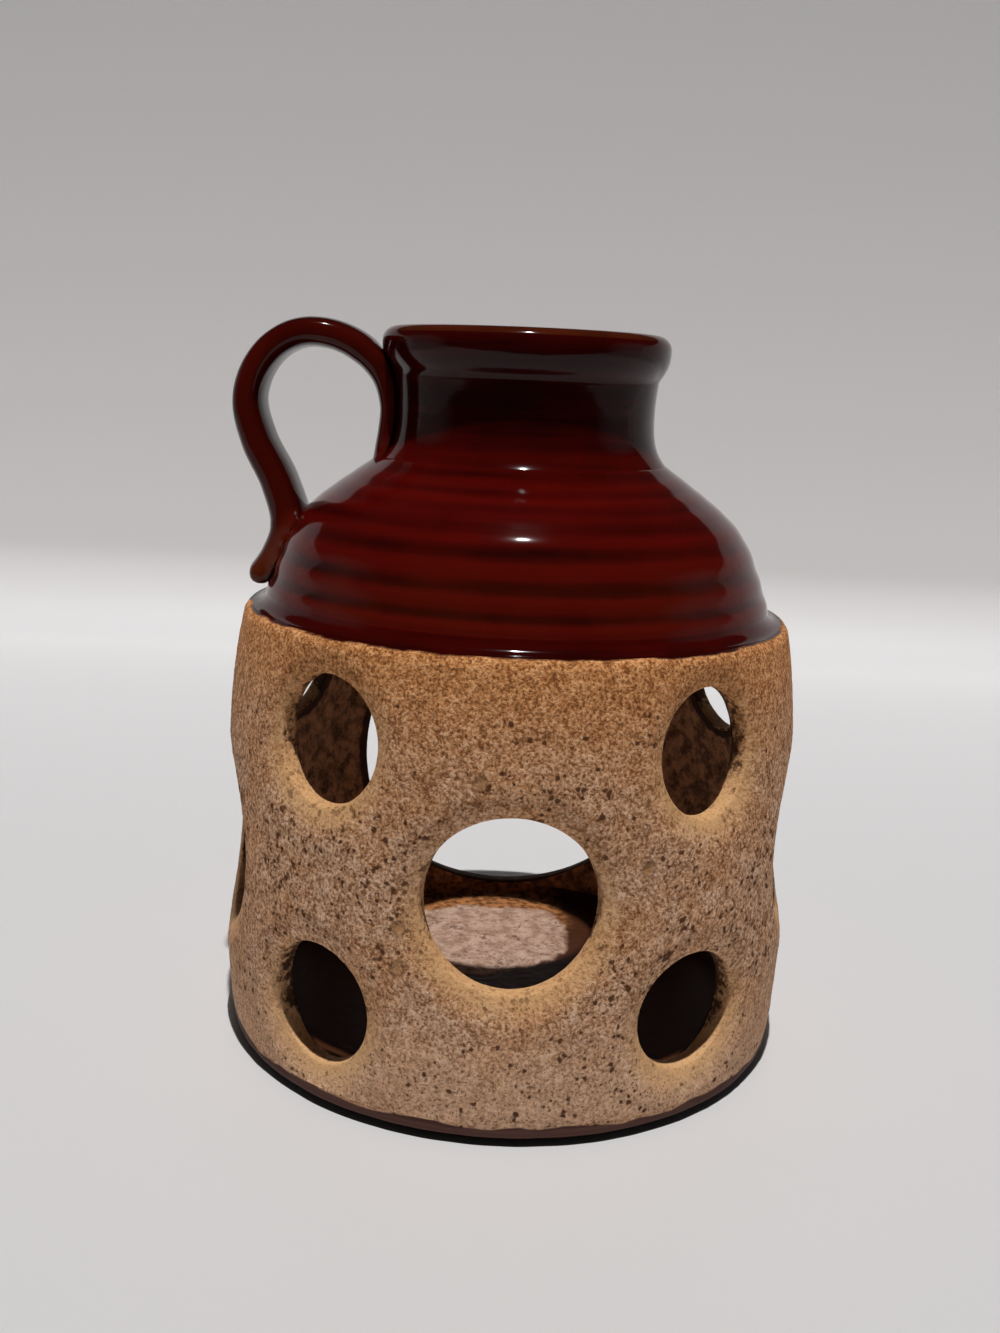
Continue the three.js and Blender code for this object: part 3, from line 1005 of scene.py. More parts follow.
@dataclass(frozen=True)
class FloorFinish(Finish):
    """Base plate: pitted glaze inside under a painted pool of light and painted shade, thin
    purple-brown wash round the foot with a painted shadow along its lowest edge, bare clay below.
    """

    wash: Colour = (0.105, 0.050, 0.040, 1)
    bare: Colour = (0.34, 0.22, 0.15, 1)
    blush: Colour = (0.50, 0.342, 0.272, 1)
    dusky: Colour = (0.27, 0.160, 0.120, 1)
    blotch: Colour = (0.120, 0.058, 0.040, 1)
    # Dark puddle glaze, which also stands as painted shade on the inside floor.
    dark_puddle_and_shade: Colour = (0.055, 0.017, 0.006, 1)
    # Amber of the painted light at the back left inside.
    amber: Colour = (0.400, 0.165, 0.058, 1)
    toffee: Colour = (0.130, 0.046, 0.015, 1)
    shadow: Colour = (0.012, 0.008, 0.007, 1)
    pitting: float = 1.6
    drift: Grain = Grain(0.10, 3.0, 0.6)
    drift_mm: float = 7.0
    clouds: Grain = Grain(0.24, 5.0, 0.66)
    cloud_ease: Ease = Ease(0.38, 0.60)
    cloud_share: float = 0.80
    stains: Grain = Grain(0.30, 4.0, 0.65)
    stain_ease: Ease = Ease(0.59, 0.68, 0.0, 0.75)
    puddle_radius: float = 49.0
    puddle_edge: Ease = Ease(2.4, 4.6)
    puddle_gloss: float = 0.55
    # Painted pool of light on the inside floor: the pale glaze shows only in this disc.
    lit_pool_middle: Triple = (-8.0, 31.0, 0.0)
    lit_pool_radius: float = 27.0
    # Where the painted light in amber reaches, at the back left inside.
    lit_amber_middle: Triple = (-16.0, 40.0, 0.0)
    lit_amber_radius: float = 34.0
    lit_amber_edge: Ease = Ease(1.0, 7.0)
    streaks: Grain = Grain(0.50, 4.0, 0.66)
    streak_ease: Ease = Ease(0.40, 0.58)
    creep: Grain = Grain(0.045, 3.0, 0.6)
    creep_stretch: Triple = (1.0, 1.0, 0.2)
    creep_mm: float = 4.0
    glaze_edge: Ease = Ease(5.7, 6.2)
    shadow_heights: Ease = Ease(2.1, 1.5)
    under_heights: Ease = Ease(0.35, 0.05)
    under_radii: Ease = Ease(62.5, 60.0)
    mottle: Grain = Grain(0.2, 4.0, 0.6)
    roughness: Ease = Ease(0.0, 1.0, 0.55, 0.94)

    def puddle_light_and_shade(
        self, sheet: NodeSheet, place: Value, flat: Value, drift: Value
    ) -> bpy.types.NodeSocket:
        """Colour of the glaze that ran together inside, with a painted pool of light in amber at
        the back left and painted shade in dark elsewhere.

        Args:
            sheet: Sheet of the material.
            place: Place on the piece.
            flat: The same place brought down to the floor.
            drift: Noise that makes the edges wander.

        Returns:
            The colour.
        """
        warm = sheet.minus(sheet.away(flat, self.lit_amber_middle), self.lit_amber_radius)
        streak = sheet.step(sheet.noise(place, self.streaks), self.streak_ease)
        glaze = sheet.mix(streak, self.toffee, self.amber)
        return sheet.mix(sheet.step(sheet.plus(warm, drift), self.lit_amber_edge), glaze, self.dark_puddle_and_shade)

    def material(self) -> bpy.types.Material:
        """Build the material.

        Returns:
            The finished material.
        """
        material, sheet, shader = self.begin()
        place = sheet.place()
        feeds = {"Place": place, "Lip": 0.0, "Pitting": self.pitting}
        coat = self.coat(sheet, LAVA.group(), feeds)
        inside = sheet.paint(Paint.INSIDE)
        height = sheet.height_of(place)
        flat = sheet.stretch(place, (1.0, 1.0, 0.0))
        radius = sheet.away(flat, CENTRE)
        drift = sheet.times(sheet.noise(place, self.drift), self.drift_mm)
        # Outside the painted pool of light the floor is painted as dark puddle and shade.
        excess = sheet.minus(sheet.away(flat, self.lit_pool_middle), self.lit_pool_radius)
        brim = sheet.math("MAXIMUM", sheet.minus(radius, self.puddle_radius), excess)
        ring = sheet.times(sheet.step(sheet.plus(brim, drift), self.puddle_edge), inside)
        cloud = sheet.step(sheet.noise(place, self.clouds), self.cloud_ease)
        clouds = sheet.mix(cloud, self.dusky, self.blush)
        top = sheet.mix(sheet.times(inside, self.cloud_share), coat.outputs["Color"], clouds)
        stain = sheet.step(sheet.noise(place, self.stains), self.stain_ease)
        top = sheet.mix(sheet.times(inside, stain), top, self.blotch)
        top = sheet.mix(ring, top, self.puddle_light_and_shade(sheet, place, flat, drift))
        creep = sheet.noise(sheet.stretch(place, self.creep_stretch), self.creep)
        reach = sheet.plus(height, sheet.times(creep, self.creep_mm))
        covered = sheet.math("MAXIMUM", sheet.step(reach, self.glaze_edge), inside)
        colour = sheet.mix(covered, self.wash, top)
        colour = sheet.mix(sheet.step(height, self.shadow_heights), colour, self.shadow)
        under = sheet.step(height, self.under_heights)
        under = sheet.times(under, sheet.step(radius, self.under_radii))
        mottle = sheet.mix(sheet.noise(place, self.mottle), self.bare, self.wash)
        sheet.feed(shader.inputs["Base Color"], sheet.mix(under, colour, mottle))
        gloss = sheet.step(ring, Ease(0.0, 1.0, 1.0, self.puddle_gloss))
        rough = sheet.times(sheet.step(covered, self.roughness), gloss)
        sheet.feed(shader.inputs["Roughness"], rough)
        rugged = sheet.minus(covered, ring)
        self.bump(sheet, shader, sheet.times(coat.outputs["Height"], rugged))
        return material


@dataclass(frozen=True)
class RedFinish(Finish):
    """Glossy dark red glaze over throwing ribs."""

    rings: float = 1.3
    gloss: float = 0.085

    def material(self) -> bpy.types.Material:
        """Build the material.

        Returns:
            The finished material.
        """
        material, sheet, shader = self.begin()
        shader.inputs["Roughness"].default_value = self.gloss
        pool, thin = sheet.paint(Paint.POOL), sheet.paint(Paint.THIN)
        feeds = {"Place": sheet.place(), "Pool": pool, "Thin": thin, "Rings": self.rings}
        coat = self.coat(sheet, RED.group(), feeds)
        sheet.feed(shader.inputs["Base Color"], coat.outputs["Color"])
        self.bump(sheet, shader, coat.outputs["Height"])
        return material


# Pieces of the pot


@dataclass
class Piece:
    """One clay piece with the CAD solid it stands for and its finish."""

    sizes: PotSizes
    finish: Finish
    name: str
    node: str

    def build(self) -> bpy.types.Object:
        """Make the mesh; each kind of piece has its own way."""
        raise NotImplementedError

    def dress(self, piece: bpy.types.Object, material: bpy.types.Material) -> None:
        """Give a piece its material and its place in the frame.

        Args:
            piece: Built piece.
            material: Material of its finish.
        """
        piece.data.materials.append(material)
        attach(piece, BODY)
        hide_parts(self.node)


@dataclass(frozen=True)
class Hole:
    """Round hole in the drum wall, measured on the unrolled wall.

    The last two fields set how dark its throat is painted as shade, and the share of that on its
    lowest part, which faces the light.
    """

    degrees: float
    height: float
    half_width: float
    half_height: float
    # How dark the throat is painted as shade, and how much of that stays at its sill, which faces
    # the light.
    throat_darkening: float = 1.0
    sill_darkening: float = 0.1

    def spot(
        self, turn: np.ndarray, height: np.ndarray, belly: float
    ) -> tuple[np.ndarray, np.ndarray]:
        """Place points relative to the middle of the hole.

        Args:
            turn: Angles from the front.
            height: Heights above the foot.
            belly: Radius that the wall is unrolled at.

        Returns:
            Distance across and distance up, in millimetres.
        """
        apart = turn - math.radians(self.degrees)
        return belly * np.arctan2(np.sin(apart), np.cos(apart)), height - self.height

    def edge(
        self, angle: np.ndarray, wider: float, belly: float
    ) -> tuple[np.ndarray, np.ndarray]:
        """Points of the hole's edge.

        Args:
            angle: Angles round the hole's middle.
            wider: How far outside the throat.
            belly: Radius that the wall is unrolled at.

        Returns:
            Turn and height of each point.
        """
        across = (self.half_width + wider) * np.cos(angle)
        up = (self.half_height + wider) * np.sin(angle)
        return math.radians(self.degrees) + across / belly, self.height + up


@dataclass
class PiercedDrum(Piece):
    """Drum wall with dished round holes, a rough outside and a wide opening at the back.

    The gold width and strength hold the value beside a hole and how far it falls towards the
    top of the hole; the golden glaze is real, its rise below each hole a painted highlight.
    unevenness holds the depth, length and noise of each layer, and craters
    the degrees and height of each one.
    """

    round_holes: tuple[Hole, ...] = (
        Hole(0.3, 50.2, 20.0, 18.3, throat_darkening=0.24),
        Hole(-37.2, 79.2, 14.8, 14.0, throat_darkening=0.28),
        Hole(38.2, 79.6, 13.6, 14.0, throat_darkening=0.34),
        Hole(-37.0, 22.3, 14.0, 13.0, throat_darkening=0.40),
        Hole(36.6, 24.3, 14.4, 12.4, throat_darkening=0.40),
        Hole(-78.5, 44.0, 19.2, 18.6),
        Hole(79.4, 50.0, 18.6, 18.2),
        Hole(-115.6, 79.0, 14.2, 14.2),
        Hole(115.6, 79.4, 14.2, 14.2),
        Hole(-115.0, 23.2, 13.6, 12.8),
        Hole(115.0, 23.2, 13.6, 12.8),
    )
    back_half_degrees: float = 39.0
    back_half_height: float = 41.5
    back_sill: float = 3.0
    # Painted shade in the back opening's throat, and the heights over which it grows on the
    # inside, which leaves the lit sill plain.
    back_opening_shade: float = 0.75
    back_shade_rise: Span = (16.0, 34.0)
    dish_width: float = 7.5
    dish_depth: float = 2.0
    # Golden glaze beside each hole; its rise below the hole is a painted highlight.
    gold_and_highlight_width: Span = (0.72, 0.22)
    gold_and_highlight_strength: Span = (0.58, 0.40)
    gold_start: float = 0.2
    hole_core: float = 0.1
    lip_round: float = 0.5
    lip_steps: int = 5
    # Painted shade over the lip's roll.
    lip_shade: float = 0.75
    inner_round: float = 1.0
    inner_steps: int = 4
    # Band of painted shade round each hole on the inside.
    inside_shade_band: Span = (0.5, 4.0)
    # The painted shade eases off towards each hole's sill, which faces the light.
    sill_rise: Span = (-0.85, -0.35)
    crest_steps: int = 5
    columns: int = 488
    rows: int = 105
    snap_share: float = 0.36
    unevenness: tuple[Layer, ...] = (
        (0.11, 1.5, Seed.WALL_GRIT),
        (0.10, 4.5, Seed.WALL_LUMPS),
        (0.20, 19.0, Seed.WALL_SWELL),
    )
    calm_foot: float = 1.5
    calm_crest: float = 1.2
    craters: tuple[Span, ...] = (
        (-19.1, 43.9),
        (-18.9, 35.8),
        (24.1, 57.8),
        (-5.8, 75.7),
        (-62.0, 60.0),
        (58.0, 38.0),
        (101.0, 72.0),
        (-98.0, 28.0),
    )
    crater_radius: float = 1.8
    crater_flat: float = 0.6
    crater_depth: float = 0.35

    def ends(self) -> tuple[float, float]:
        """Return the heights of the wall's foot and of its top below the rounded edge."""
        return self.sizes.floor_thickness, self.sizes.drum_top - self.sizes.drum_edge_round

    def holes(self) -> list[Hole]:
        """Return every hole: the round ones and the back opening."""
        middle = self.sizes.floor_thickness + self.back_sill + self.back_half_height
        half_width = self.sizes.belly_radius * math.radians(self.back_half_degrees)
        size = (half_width, self.back_half_height)
        back = Hole(180.0, middle, *size, self.back_opening_shade, sill_darkening=1.0)
        return [*self.round_holes, back]

    def reach(
        self, turn: np.ndarray, height: np.ndarray, wider: float
    ) -> tuple[np.ndarray, np.ndarray]:
        """Distance from the nearest hole's edge.

        Args:
            turn: Angles from the front.
            height: Heights above the foot.
            wider: How far outside the throat the edge is taken.

        Returns:
            Distance outside that edge, less than 0 within it, and the number of the hole.
        """
        rows = []
        for hole in self.holes():
            across, up = hole.spot(turn, height, self.sizes.belly_radius)
            share = np.hypot(across / (hole.half_width + wider), up / (hole.half_height + wider))
            rows.append((share - 1.0) * (hole.half_height + wider))
        rows = np.array(rows)
        return rows.min(axis=0), rows.argmin(axis=0)

    def golden(self, turn: np.ndarray, height: np.ndarray) -> np.ndarray:
        """How golden the glaze is round the holes, with a painted highlight that makes it
        strongest and widest below them, where the dish faces up into the light.

        Args:
            turn: Angles from the front.
            height: Heights above the foot.

        Returns:
            A value from 0 to 1 for each point.
        """
        wide, wide_drop = self.gold_and_highlight_width
        strong, strong_drop = self.gold_and_highlight_strength
        gold = np.zeros(len(turn))
        for hole in self.holes():
            across, up = hole.spot(turn, height, self.sizes.belly_radius)
            share = np.hypot(across / hole.half_width, up / hole.half_height)
            past = (share - 1.0) * hole.half_height
            slope = up / hole.half_height / np.maximum(share, self.hole_core)
            # Stronger and wider below the hole: a painted highlight.
            width = self.dish_width * (wide - wide_drop * slope)
            strength = strong - strong_drop * slope
            fade = 1.0 - smooth_step(past, self.gold_start, width)
            gold = np.maximum(gold, strength * fade)
        return gold

    def dish(self, distance: np.ndarray) -> np.ndarray:
        """Depth of the dish at a distance outside a hole.

        Args:
            distance: Distance from the throat.

        Returns:
            Depth below the plain wall.
        """
        return self.dish_depth * (1.0 - np.clip(distance / self.dish_width, 0.0, 1.0)) ** 2

    def onto_edge(self, turn: float, height: float, number: int) -> tuple[float, float, float]:
        """Move a point onto the lip line of a hole.

        Args:
            turn: Angle from the front.
            height: Height above the foot.
            number: Number of the hole.

        Returns:
            Turn and height on the lip line, and the angle round the hole.
        """
        hole = self.holes()[number]
        across, up = hole.spot(np.array(turn), np.array(height), self.sizes.belly_radius)
        wider = self.lip_round
        rise = float(up) / (hole.half_height + wider)
        angle = math.atan2(rise, float(across) / (hole.half_width + wider))
        new_turn, new_height = hole.edge(np.array(angle), wider, self.sizes.belly_radius)
        return float(new_turn), float(new_height), angle

    def net(
        self,
    ) -> tuple[np.ndarray, np.ndarray, list[tuple[int, ...]], list[dict[int, float]]]:
        """Lay a fine net over the unrolled wall, cut along the lip line of each hole.

        Points close to a lip line move onto it, and each cell that the line crosses is cut there.

        Returns:
            Turn and height of each point, the faces, and for each hole its lip points with
            their angles round the hole. The first and last rows are the wall's two ends.
        """
        low, high = self.ends()
        turn = list(np.tile(np.arange(self.columns) * TURN / self.columns, self.rows + 1))
        height = list(np.repeat(np.linspace(low, high, self.rows + 1), self.columns))
        side, owner = self.reach(np.array(turn), np.array(height), self.lip_round)
        cell = (high - low) / self.rows
        lips: list[dict[int, float]] = [{} for _ in self.holes()]
        angles: dict[int, float] = {}
        for point in np.nonzero(np.abs(side) < self.snap_share * cell)[0]:
            moved = self.onto_edge(turn[point], height[point], owner[point])
            turn[point], height[point], angles[int(point)] = moved
            side[point] = 0.0
        first = np.arange(self.columns)
        after = (first + 1) % self.columns
        below = np.arange(self.rows)[:, None] * self.columns
        above = below + self.columns
        corners = np.stack([below + first, below + after, above + after, above + first], axis=-1)
        corners = corners.reshape(-1, 4)
        signs = np.sign(side[corners])
        whole = (signs >= 0).all(axis=1) & (signs > 0).any(axis=1)
        partly = (signs < 0).any(axis=1) & (signs > 0).any(axis=1)
        faces = [tuple(int(c) for c in row) for row in corners[whole]]
        cuts: dict[tuple[int, int], int] = {}
        for row in corners[partly]:
            shape: list[int] = []
            for a, b in zip(row, np.roll(row, -1)):
                if side[a] >= 0:
                    shape.append(int(a))
                if side[a] * side[b] < 0:
                    key = (min(a, b), max(a, b))
                    if key not in cuts:
                        share = side[a] / (side[a] - side[b])
                        apart = math.remainder(turn[b] - turn[a], TURN)
                        crossing = turn[a] + apart * share
                        level = height[a] + (height[b] - height[a]) * share
                        outer = a if side[a] > 0 else b
                        moved = self.onto_edge(crossing, level, owner[outer])
                        new_turn, new_height, angle = moved
                        cuts[key] = len(turn)
                        angles[len(turn)] = angle
                        lips[owner[outer]][len(turn)] = angle
                        turn.append(new_turn)
                        height.append(new_height)
                    shape.append(cuts[key])
            if len(shape) > 2:
                faces.append(tuple(shape))
        used = {point for face in faces for point in face}
        for point, angle in angles.items():
            if point < len(owner) and point in used:
                lips[owner[point]][point] = angle
        return np.array(turn), np.array(height), faces, lips

    def lip_rings(self) -> list[tuple[float, float, float]]:
        """Section of a hole's edge, from the dish over the lip and through the throat.

        Returns:
            Distance outside the throat, depth below the wall and painted throat shade of each
            ring.
        """
        start = float(self.dish(np.array(self.lip_round)))
        fall = 2.0 * self.dish_depth / self.dish_width * (1.0 - self.lip_round / self.dish_width)
        slope = math.atan(fall)
        roll = self.lip_round / (1.0 - math.sin(slope))
        rings = []
        for angle in np.linspace(slope, math.pi / 2, self.lip_steps + 1)[1:]:
            out = self.lip_round - roll * (math.sin(angle) - math.sin(slope))
            deep = start + roll * (math.cos(slope) - math.cos(angle))
            rings.append((out, deep, self.lip_shade * (deep - start) / roll))
        wall = self.sizes.drum_wall
        for angle in np.linspace(0.0, math.pi / 2, self.inner_steps + 1):
            out = self.inner_round * (1.0 - math.cos(angle))
            rings.append((out, wall - self.inner_round * (1.0 - math.sin(angle)), 1.0))
        return rings

    def relief(
        self, points: np.ndarray, turn: np.ndarray, height: np.ndarray
    ) -> tuple[np.ndarray, np.ndarray]:
        """Rough surface of the glaze.

        Args:
            points: Places in millimetres.
            turn: Angles from the front.
            height: Heights above the foot.

        Returns:
            How far each point stands out, and its crater paint.
        """
        crater = np.zeros(len(points))
        flat = self.crater_radius * self.crater_flat
        for degrees, level in self.craters:
            apart = turn - math.radians(degrees)
            across = self.sizes.belly_radius * np.arctan2(np.sin(apart), np.cos(apart))
            near = np.hypot(across, height - level)
            crater = np.maximum(crater, smooth_step(near, self.crater_radius, flat))
        return layered_noise(points, self.unevenness) - self.crater_depth * crater, crater

    def line_throats(
        self, skin: Skin, lips: list[dict[int, float]], front: np.ndarray, back: np.ndarray
    ) -> None:
        """Add the lip and the throat of each hole, with painted shade in the throat that is
        lighter at its sill.

        Args:
            skin: Surface with the wall's outside and inside.
            lips: Lip points of each hole with their angles round it.
            front: Numbers of the outside points.
            back: Numbers of the inside points.
        """
        for hole, points in zip(self.holes(), lips):
            order = sorted(points, key=points.get)
            angle = np.array([points[point] for point in order])
            # Painted shade in the throat, less at the sill where the light falls.
            rise = smooth_step(np.sin(angle), *self.sill_rise)
            throat_darkening = hole.throat_darkening * (hole.sill_darkening + (1.0 - hole.sill_darkening) * rise)
            ring = front[order]
            for out, deep, throat in self.lip_rings():
                turn, height = hole.edge(angle, out, self.sizes.belly_radius)
                place = round_point(self.sizes.drum_radius(height) - deep, turn, height)
                gold = self.golden(turn, height)
                following = skin.add_points(place, lip=gold, throat=throat * throat_darkening)
                skin.join_rings(ring, following)
                ring = following
            skin.join_rings(ring, back[order])

    def close_ends(
        self, skin: Skin, turn: np.ndarray, front: np.ndarray, back: np.ndarray
    ) -> None:
        """Round the wall's top edge and close its two ends.

        Args:
            skin: Surface with the wall's outside and inside.
            turn: Angle of each point from the front.
            front: Numbers of the outside points.
            back: Numbers of the inside points.
        """
        sizes = self.sizes
        foot = np.arange(self.columns)
        top = foot + self.rows * self.columns
        ring = front[top]
        middle = (sizes.shoulder_edge, self.ends()[1])
        crest = arc_outline(*middle, sizes.drum_edge_round, 0, 90, self.crest_steps)[1:]
        inner = float(sizes.drum_radius(np.array(sizes.drum_top))) - sizes.drum_wall
        for out, level in [*crest, (inner, sizes.drum_top)]:
            radius, height = np.full(self.columns, out), np.full(self.columns, level)
            following = skin.add_points(round_point(radius, turn[foot], height))
            skin.join_rings(ring, following)
            ring = following
        skin.join_rings(ring, back[top])
        skin.join_rings(back[foot], front[foot])

    def build(self) -> bpy.types.Object:
        """Make the wall: outside, inside, lips of the holes and both ends.

        Returns:
            The new piece.
        """
        sizes = self.sizes
        turn, height, faces, lips = self.net()
        distance, number = self.reach(turn, height, 0.0)
        radius = sizes.drum_radius(height)
        outside = round_point(radius - self.dish(distance), turn, height)
        inside = round_point(radius - sizes.drum_wall, turn, height)
        skin = Skin()
        front = skin.add_points(outside, lip=self.golden(turn, height))
        skin.faces.extend(faces)
        # Painted shade on the inside round each hole; by the back opening only higher up.
        throat_shade = 1.0 - smooth_step(distance, *self.inside_shade_band)
        behind = number == len(self.round_holes)
        throat_shade *= np.where(behind, smooth_step(height, *self.back_shade_rise), 1.0)
        back = skin.add_points(inside, inside=1.0, throat=throat_shade)
        skin.faces.extend(tuple(int(back[c]) for c in reversed(face)) for face in faces)
        self.line_throats(skin, lips, front, back)
        self.close_ends(skin, turn, front, back)
        return self.roughen(skin)

    def roughen(self, skin: Skin) -> bpy.types.Object:
        """Add the relief of the glaze and make the object.

        Args:
            skin: Smooth surface of the wall.

        Returns:
            The new piece.
        """
        points = skin.all_points()
        turn, height = np.arctan2(points[:, 0], -points[:, 1]), points[:, 2]
        out, crater = self.relief(points, turn, height)
        inner = np.concatenate(skin.paints[Paint.INSIDE]) > 0.5
        low, high = self.ends()
        calm = 1.0 - smooth_step(height, high, high + self.calm_crest)
        ends = smooth_step(height, low, low + self.calm_foot) * calm
        out = out * ends * np.where(inner, -1.0, 1.0)
        radius = np.hypot(points[:, 0], points[:, 1])
        points[:, :2] *= (1.0 + out / radius)[:, None]
        skin.paints[Paint.CRATER] = [np.where(inner, 0.0, crater)]
        return skin.to_object(self.name, points)


@dataclass
class BasePlate(Piece):
    """Round base plate with a filleted corner inside the wall."""

    fillet_width: float = 5.0
    fillet_height: float = 2.6
    fillet_gap: float = 0.15
    fillet_steps: int = 8
    foot_inset: float = 4.3
    foot_gap: float = 1.4
    seam: float = 0.3
    under_steps: int = 23
    edge_steps: int = 6
    side_steps: int = 3
    middle_steps: int = 79
    unevenness: tuple[Layer, ...] = (
        (0.14, 1.8, Seed.FLOOR_GRIT),
        (0.16, 7.0, Seed.FLOOR_LUMPS),
    )
    calm_rim: float = 3.0
    foot_relief: float = 0.18
    foot_wave: float = 6.0
    foot_band: Span = (0.2, 1.2)
    foot_margin: float = 4.0

    def wall(self) -> float:
        """Return the radius that the plate's fillet reaches inside the drum."""
        return self.sizes.foot_radius - self.sizes.drum_wall - self.fillet_gap

    def build(self) -> bpy.types.Object:
        """Make the plate.

        Returns:
            The new piece.
        """
        sizes = self.sizes
        top, wall = sizes.floor_thickness, self.wall()
        foot = sizes.foot_radius - self.foot_inset
        out = np.linspace(0.0, foot, self.under_steps + 1)
        under = np.stack([out, np.zeros(len(out))], axis=-1)
        low = self.foot_gap + sizes.foot_round
        middle = (sizes.foot_radius - sizes.foot_round, low)
        edge = arc_outline(*middle, sizes.foot_round, 270, 360, self.edge_steps)
        edge = np.concatenate([[[foot + self.seam, self.foot_gap]], edge])
        up = np.linspace(low, top, self.side_steps + 1)[1:]
        side = np.stack([np.full(len(up), sizes.foot_radius), up], axis=-1)
        turn = np.linspace(0.0, math.pi / 2, self.fillet_steps + 1)
        cove_out = wall - self.fillet_width * (1.0 - np.cos(turn))
        cove = np.stack([cove_out, top + self.fillet_height * (1.0 - np.sin(turn))], axis=-1)
        inward = np.linspace(cove[-1, 0], 0.0, self.middle_steps + 1)[1:]
        flat = np.stack([inward, np.full(len(inward), top)], axis=-1)
        outline = np.concatenate([under, edge, side, [[wall + self.seam, top]], cove, flat])
        inner = np.zeros(len(outline))
        inner[-len(cove) - len(flat):] = 1.0
        skin = turned_skin(outline, sizes.sides, {"inside": inner}, ring=False)
        return skin.to_object(self.name, self.roughened(skin))

    def roughened(self, skin: Skin) -> np.ndarray:
        """Make the inside lumpy and the edge of the foot uneven.

        Args:
            skin: Smooth surface of the plate.

        Returns:
            The moved points.
        """
        points = skin.all_points()
        inner = np.concatenate(skin.paints[Paint.INSIDE])
        out, wall = np.hypot(points[:, 0], points[:, 1]), self.wall()
        lifted = inner * smooth_step(out, wall, wall - self.calm_rim)
        points[:, 2] += layered_noise(points, self.unevenness) * lifted
        rough = self.foot_relief * wave_noise(points, self.foot_wave, Seed.FOOT) - self.foot_relief
        band = smooth_step(points[:, 2], *self.foot_band) * (1.0 - inner)
        radius = np.maximum(out, 1.0)
        outer = radius > wall + self.foot_margin
        points[:, :2] *= (1.0 + rough * band * outer / radius)[:, None]
        return points


@dataclass
class RibbedShoulder(Piece):
    """Thrown shoulder with a cove at its foot and soft ribs up its side.

    rib_drift holds how far the spacing of the ribs drifts, and its pace. The values named pool
    say how deep the glaze lies there, from 0 to 1.
    """

    rib_count: int = 7
    rib_depth: float = 0.20
    rib_drift: Span = (0.02, 9.0)
    rib_fade: float = 0.72
    rib_fade_span: Span = (0.25, 0.6)
    rib_ends: Span = (0.03, 0.96)
    steps: int = 168
    inner_steps: int = 30
    cove_steps: int = 10
    cove_pool: Span = (0.9, 0.25)
    inner_pool: float = 0.9
    foot_pool: float = 0.05
    climb_pool: float = 0.36
    rib_pool: float = 0.64
    climb_span: Span = (0.10, 0.55)
    foot_thin: float = 0.10

    def ribs(self, share: np.ndarray) -> np.ndarray:
        """Throwing ribs up the side, soft at both ends and weaker higher up.

        Args:
            share: Places up the side, from 0 to 1.

        Returns:
            A value from -1 to 1 for each place.
        """
        drift, pace = self.rib_drift
        start, stop = self.rib_ends
        swing = np.sin((share + drift * np.sin(share * pace)) * self.rib_count * TURN)
        strength = 1.0 - self.rib_fade * smooth_step(share, *self.rib_fade_span)
        strength = strength * smooth_step(share, 0.0, start)
        return swing * strength * (1.0 - smooth_step(share, stop, 1.0))

    def build(self) -> bpy.types.Object:
        """Make the shoulder.

        Returns:
            The new piece.
        """
        sizes = self.sizes
        middle = (sizes.shoulder_edge, sizes.drum_top + sizes.cove_radius)
        cove = arc_outline(*middle, sizes.cove_radius, 270, 180, self.cove_steps)
        sweep = sizes.shoulder_sweep(self.steps)
        share = np.linspace(0.0, 1.0, self.steps + 1)
        rib = self.ribs(share)
        outer = sweep + square_out(sweep) * (rib * self.rib_depth / 2)[:, None]
        plain = sizes.shoulder_sweep(self.inner_steps)
        inner = (plain - square_out(plain) * sizes.shoulder_wall)[::-1]
        seat = np.array([[sizes.bore_radius, height] for height in (sizes.neck_seat, inner[0, 1])])
        foot = np.array([[inner[-1, 0], sizes.drum_top]])
        outline = np.concatenate([cove, outer[1:], seat, inner, foot])
        side = slice(len(cove), len(cove) + self.steps)
        climb = smooth_step(share, *self.climb_span)[1:]
        pool = np.full(len(outline), self.inner_pool)
        pool[:len(cove)] = np.linspace(*self.cove_pool, len(cove))
        pool[side] = self.foot_pool + self.climb_pool * climb - self.rib_pool * rib[1:]
        thin = np.zeros(len(outline))
        thin[side] = self.foot_thin * (1.0 - climb)
        skin = turned_skin(outline, sizes.sides, {"pool": pool, "thin": thin})
        return skin.to_object(self.name, sizes.thrown_wobble(skin.all_points()))


@dataclass
class WaistedNeck(Piece):
    """Short neck with a flared foot and a straight bore; its glaze darkens up the outside, partly
    pooled glaze and partly painted shade under the rim.
    """

    steps: int = 60
    bore_points: int = 12
    bore_pool: float = 0.95
    foot_pool: float = 0.42
    climb_pool: float = 0.50
    climb_span: Span = (1.0, 12.0)

    def build(self) -> bpy.types.Object:
        """Make the neck.

        Returns:
            The new piece.
        """
        sizes = self.sizes
        heights = np.linspace(sizes.neck_seat, sizes.rim_seat, self.steps + 1)
        outside = np.stack([sizes.neck_radius(heights), heights], axis=-1)
        down = np.linspace(sizes.rim_seat, sizes.neck_seat, self.bore_points)
        bore = np.stack([np.full(len(down), sizes.bore_radius), down], axis=-1)
        outline = np.concatenate([outside, bore])
        low, high = (sizes.neck_seat + rise for rise in self.climb_span)
        pool = np.full(len(outline), self.bore_pool)
        # Darker up towards the rim: pooled glaze, and painted shade under the rim's overhang.
        pool[:len(outside)] = self.foot_pool + self.climb_pool * smooth_step(heights, low, high)
        skin = turned_skin(outline, sizes.sides, {"pool": pool})
        return skin.to_object(self.name, sizes.thrown_wobble(skin.all_points()))


